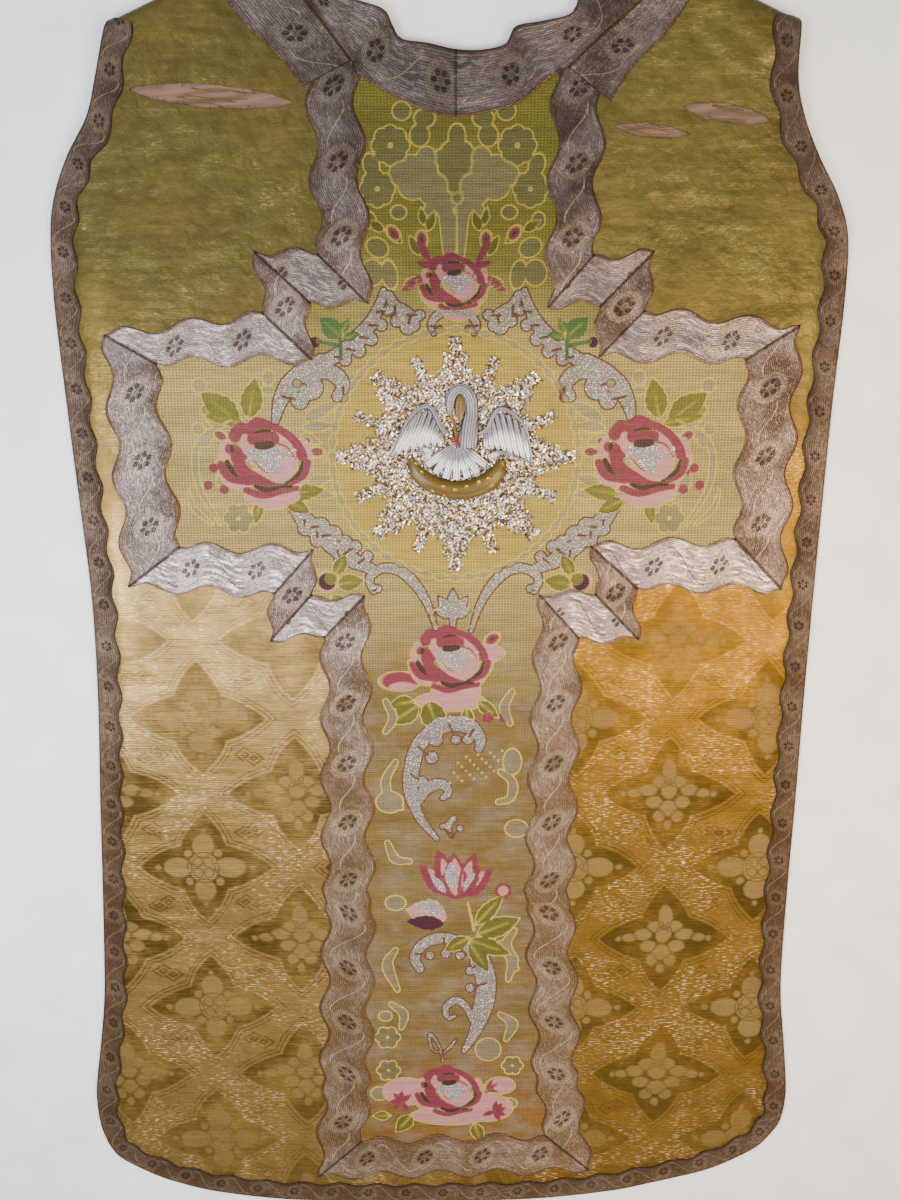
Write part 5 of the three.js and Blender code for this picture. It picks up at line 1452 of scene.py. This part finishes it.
def galloonMaterial(name, look):
    material, tree, shader, garment = newMaterial(name)
    put = partial(addNode, tree)
    cloth = put("UVMap", uv_map="cloth")
    uv = put("SeparateXYZ", cloth).outputs
    half = look["repeat"] / 2
    u = put("Math.WRAP", uv[0], half, -half)
    v = uv[1]
    scale = look["scale"]
    # a flower of six sunk petals in a net ring
    spotAt = put("CombineXYZ", u, v)
    far = put("VectorMath.LENGTH", spotAt).outputs["Value"]
    angle = put("Math.ARCTAN2", v, u)
    turn = put("Math.WRAP", angle, math.pi / 6, -math.pi / 6)
    px = put("Math.SUBTRACT", put("Math.MULTIPLY", far, put("Math.COSINE", turn)), 5.6 * scale)
    py = put("Math.MULTIPLY", far, put("Math.SINE", turn))
    petal = put("VectorMath.LENGTH", put("CombineXYZ", px, put("Math.MULTIPLY", py, 1.15))).outputs["Value"]
    petals = put("MapRange", {"Value": petal, "From Min": 1.7 * scale, "From Max": 2.5 * scale, "To Min": 1.0,
                              "To Max": 0.0})
    ring = lineMask(put, far, 11.0 * scale, 1.8 * scale, 1.4)
    netting = put("TexChecker", {"Vector": cloth, "Scale": 0.55}).outputs["Fac"]
    ring = put("Math.MULTIPLY", ring, put("Math.MULTIPLY_ADD", netting, 0.5, 0.5))
    # a pale line that swings across between flowers, and ticks beside it
    sway = put("Math.MULTIPLY", put("Math.SINE", put("Math.MULTIPLY", u, math.pi / half)), -12.0 * scale)
    apart = put("MapRange", {"Value": put("Math.ABSOLUTE", u), "From Min": 9.0 * scale, "From Max": 14.0 * scale})
    swingLine = put("Math.MULTIPLY", lineMask(put, put("Math.SUBTRACT", v, sway), 0.0, 0.45, 0.5), apart)
    tick = put("VectorMath.MULTIPLY", cloth, (0.10, 0.5, 0.0))
    tick = put("TexVoronoi", {"Vector": tick, "Scale": 1.0}, voronoi_dimensions="2D").outputs["Distance"]
    ticks = put("MapRange", {"Value": tick, "From Min": 0.10, "From Max": 0.2, "To Min": 0.6, "To Max": 0.0})
    # ribs run lengthwise, drawn at 1.9 mm where the real ones are about 0.6 mm
    ribs = put("Math.SINE", put("Math.MULTIPLY", v, 3.3))
    cloud = put("TexNoise", {"Vector": garment, "Scale": 0.03, "Detail": 3.0}).outputs["Fac"]
    fleck = put("TexNoise", {"Vector": garment, "Scale": 0.5, "Detail": 2.0}).outputs["Fac"]
    colour = put("Mix.RGBA", put("MapRange", {"Value": cloud, "From Min": 0.35, "From Max": 0.65}),
                 shade(look["ground"]), shade(look["light"]))
    # warmer towards the bottom: painted warm light
    down = put("MapRange", {"Value": put("SeparateXYZ", garment).outputs[1], "From Min": 60.0, "From Max": -160.0,
                            "To Max": 0.55})
    colour = put("Mix.RGBA", down, colour, shade(look["warm"]))
    # the crosswise runs take a pale shine, most at middle height: painted sheen
    level = put("Attribute", attribute_name="level").outputs["Fac"]
    level = put("MapRange", {"Value": level, "From Min": 0.5, "From Max": 0.85})
    upward = put("SeparateXYZ", garment).outputs[1]
    lit = put("MapRange", {"Value": upward, "From Min": 70.0, "From Max": 330.0, "To Min": 1.0, "To Max": 0.2})
    lit = put("Math.MULTIPLY", lit, put("MapRange", {"Value": upward, "From Min": -120.0, "From Max": 0.0}))
    level = put("Math.MULTIPLY", level, lit)
    colour = put("Mix.RGBA", put("Math.MULTIPLY", level, 0.45), colour, shade(look["shine"]))
    # light and dark dashes on those shining runs: partly the woven ticks, partly painted sheen
    flame = streaksOf(put, cloth, (0.075, 0.33), 2.0, 0.5)
    free = put("Math.MULTIPLY", level, put("Math.MULTIPLY_ADD", apart, 0.75, 0.25))
    darkFlame = put("Math.MULTIPLY", free, put("MapRange", {"Value": flame, "From Min": 0.50, "From Max": 0.40}))
    paleFlame = put("Math.MULTIPLY", free, put("MapRange", {"Value": flame, "From Min": 0.53, "From Max": 0.60}))
    colour = put("Mix.RGBA", put("Math.MULTIPLY", darkFlame, 0.75), colour, shade(look["light"]))
    colour = put("Mix.RGBA", put("Math.MULTIPLY", paleFlame, 0.8), colour, shade(look["flame"]))
    # patches where the silver is less tarnished, in short lengthwise flecks, lightened further with painted highlights
    glow = streaksOf(put, cloth, (0.09, 0.5), 3.0, 0.7)
    glow = put("Math.MULTIPLY", put("MapRange", {"Value": glow, "From Min": 0.48, "From Max": 0.62}),
               put("MapRange", {"Value": cloud, "From Min": 0.42, "From Max": 0.62}))
    colour = put("Mix.RGBA", put("Math.MULTIPLY", glow, put("Math.MULTIPLY_ADD", level, 0.45, 0.35)), colour,
                 shade(look["shine"]))
    colour = put("Mix.RGBA", put("Math.MULTIPLY", ring, 0.35), colour, shade(look["line"]))
    colour = put("Mix.RGBA", put("Math.MULTIPLY", ticks, 0.6), colour,
                 put("Mix.RGBA", level, shade(look["line"]), shade(look["ground"])))
    colour = put("Mix.RGBA", put("Math.MULTIPLY", swingLine, 0.75), colour,
                 put("Mix.RGBA", level, shade(look["line"]), shade(look["edge"])))
    colour = put("Mix.RGBA", put("Math.MULTIPLY", petals, put("Math.MULTIPLY_ADD", level, 0.1, 0.72)), colour,
                 shade(look["dark"]))
    rim = put("Attribute", attribute_name="rim").outputs["Fac"]
    cords = put("MapRange", {"Value": rim, "From Min": 0.04, "From Max": 0.07, "To Min": 0.7, "To Max": 0.0})
    colour = put("Mix.RGBA", cords, colour, shade(look["edge"]))
    seam = put("Attribute", attribute_name="seam").outputs["Fac"]
    seam = put("MapRange", {"Value": seam, "From Min": 0.5, "From Max": 1.6, "To Min": 0.85, "To Max": 0.0})
    colour = put("Mix.RGBA", seam, colour, shade(look["dark"]))
    tone = put("MapRange", {"Value": put("Math.MULTIPLY_ADD", ribs, 0.12, fleck), "From Min": 0.3, "From Max": 0.7,
                            "To Min": 0.72, "To Max": 1.25})
    # the upper braids are darkened: painted shade
    high = put("MapRange", {"Value": put("SeparateXYZ", garment).outputs[1], "From Min": 318.0, "From Max": 378.0,
                            "To Min": 1.0, "To Max": look["top"]})
    colour = put("VectorMath.SCALE", colour, put("Math.MULTIPLY", tone, high))
    tree.links.new(colour.outputs[0], shader.inputs["Base Color"])
    height = put("Math.MULTIPLY_ADD", ribs, 0.08, put("Math.MULTIPLY", fleck, 0.55))
    height = put("Math.MULTIPLY_ADD", petals, -0.9, height)
    height = put("Math.MULTIPLY_ADD", seam, -0.8, height)
    height = put("Math.MULTIPLY_ADD", swingLine, 0.3, height)
    wide = put("TexNoise", {"Vector": garment, "Scale": 0.10, "Detail": 3.0}).outputs["Fac"]
    height = put("Math.MULTIPLY_ADD", wide, 1.4, height)
    relief = put("Bump", {"Height": height, "Distance": 0.001, "Strength": 0.7})
    tree.links.new(relief.outputs[0], shader.inputs["Normal"])
    rough = put("MapRange", {"Value": fleck, "From Min": 0.35, "From Max": 0.65, "To Min": look["rough"] + 0.1,
                             "To Max": look["rough"] - 0.1})
    tree.links.new(rough.outputs[0], shader.inputs["Roughness"])
    shader.inputs["Metallic"].default_value = look["metal"]
    shader.inputs["Specular IOR Level"].default_value = 0.25
    return material


def linenMaterial(name, colour):
    # thin old linen: quite matt, and lying in soft folds, darker in their hollows and lighter on their ridges: painted
    # shade and light
    material, tree, shader, garment = newMaterial(name)
    put = partial(addNode, tree)
    slanted = put("VectorRotate", {"Vector": garment, "Angle": -0.10}, rotation_type="Z_AXIS")
    fold = streaksOf(put, slanted, (0.020, 0.20), 2.0)
    tone = put("MapRange", {"Value": fold, "From Min": 0.38, "From Max": 0.62, "To Min": 0.74, "To Max": 1.28})
    tint = put("VectorMath.SCALE", shade(colour)[:3], tone)
    tree.links.new(tint.outputs[0], shader.inputs["Base Color"])
    relief = put("Bump", {"Height": fold, "Distance": 0.002, "Strength": 0.7})
    tree.links.new(relief.outputs[0], shader.inputs["Normal"])
    shader.inputs["Roughness"].default_value = 0.85
    return material


def threadMaterial(name, colour, bright, line, period, metal, rough):
    # laid thread: fine ridges across each padded strip, drawn wide enough to show
    material, tree, shader, garment = newMaterial(name)
    put = partial(addNode, tree)
    cloth = put("UVMap", uv_map="cloth")
    uv = put("SeparateXYZ", {"Vector": cloth}).outputs
    fleck = put("TexNoise", {"Vector": garment, "Scale": 0.6, "Detail": 2.0}).outputs["Fac"]
    ridge = put("Math.SINE", put("Math.MULTIPLY", uv[1], 2 * math.pi / period))
    dip = put("MapRange", {"Value": ridge, "From Min": -1.0, "From Max": -0.2, "To Min": 0.8, "To Max": 0.0})
    tip = put("Attribute", attribute_name="tip").outputs["Fac"]
    tip = put("MapRange", {"Value": tip, "From Min": 0.35, "From Max": 0.6})
    rim = put("Attribute", attribute_name="rim").outputs["Fac"]
    rim = put("MapRange", {"Value": rim, "From Min": 0.8, "From Max": 0.97, "To Max": 0.9})
    tint = put("Mix.RGBA", tip, shade(colour), shade(bright))
    tint = put("Mix.RGBA", dip, tint, shade(line))
    tint = put("Mix.RGBA", rim, tint, shade(line))
    tone = put("MapRange", {"Value": fleck, "From Min": 0.3, "From Max": 0.7, "To Min": 0.78, "To Max": 1.12})
    tint = put("VectorMath.SCALE", tint, tone)
    tree.links.new(tint.outputs[0], shader.inputs["Base Color"])
    height = put("Math.MULTIPLY_ADD", fleck, 0.7, ridge)
    relief = put("Bump", {"Height": height, "Distance": 0.0004, "Strength": 0.6})
    tree.links.new(relief.outputs[0], shader.inputs["Normal"])
    shader.inputs["Metallic"].default_value = metal
    shader.inputs["Roughness"].default_value = rough
    return material


def purlMaterial():
    # chips of coiled silver wire: small patches are painted bright or dark at random, painted glints and shade, so it
    # glitters; some are gilt
    material, tree, shader, garment = newMaterial("chipped_silver_purl")
    put = partial(addNode, tree)
    chips = put("TexVoronoi", {"Vector": garment, "Scale": 0.85}, voronoi_dimensions="2D")
    bits = put("SeparateXYZ", {"Vector": chips.outputs["Color"]}).outputs
    bright = put("MapRange", {"Value": bits[0], "From Min": 0.25, "From Max": 0.62})
    gilt = put("MapRange", {"Value": bits[1], "From Min": 0.66, "From Max": 0.72})
    tint = put("Mix.RGBA", bright, shade("5c4a3a"), shade("f0eae4"))
    tint = put("Mix.RGBA", gilt, tint, shade("9a7434"))
    tree.links.new(tint.outputs[2], shader.inputs["Base Color"])
    relief = put("Bump", {"Height": bits[2], "Distance": 0.0012, "Strength": 1.0})
    tree.links.new(relief.outputs[0], shader.inputs["Normal"])
    shader.inputs["Metallic"].default_value = 0.85
    shader.inputs["Roughness"].default_value = 0.28
    return material


brocade = brocadeMaterial(brocadeLook)
finishes = [
    (brocade, [backPanel, frontPanel]),
    (orphreyMaterial(orphreyLook), [orphreySheet]),
    (galloonMaterial("tarnished_metal_galloon", galloonLook["wide"]),
     [crossStrip, neckStrip, *shoulderStrips.values()]),
    (galloonMaterial("dull_edge_galloon", galloonLook["edge"]), [edgeStrip, frontEdgeBraid, frontNeckBraid]),
    (linenMaterial("faded_pink_linen", "6c5545"), list(linings.values())),
    (plainMaterial("pulled_gold_thread", "6a4c1c", 1.0, 0.5, 0.3), list(threads.values())),
    (purlMaterial(), [sunburst]),
    (threadMaterial("laid_silver_thread", "9a929a", "f6f8f8", "352e34", 2.5, 0.3, 0.36), silverPieces),
    (threadMaterial("gold_satin_silk", "665012", "665012", "4e3c0a", 9.0, 0.1, 0.34), [nest, throat]),
    (threadMaterial("gold_passing_thread", "a5812c", "a5812c", "5e4514", 1.2, 0.5, 0.35), [beak]),
    (threadMaterial("red_floss", "8e2a22", "8e2a22", "5a1512", 1.2, 0.0, 0.5), [stitches]),
    (plainMaterial("jet_bead", "1d1a1c", 2.0, 0.15, 0.05), [eye]),
    (plainMaterial("gilt_sequin", "c99a34", 2.0, 0.22, 0.1, 0.9), sequinPieces),
]
for material, pieces in finishes:
    for piece in pieces:
        piece.data.materials.clear()
        piece.data.materials.append(material)
print("materials on")


def layOut(piece):
    # the cloth lies flat, so its cut is its own size; the size is read here and not used
    x, y, z = piece.dimensions


layOut(frontPanel)
layOut(frontEdgeBraid)
layOut(frontNeckBraid)
layOut(backPanel)
for lining in linings.values():
    layOut(lining)
layOut(orphreySheet)
for strip in (crossStrip, neckStrip, *shoulderStrips.values()):
    layOut(strip)
layOut(edgeStrip)
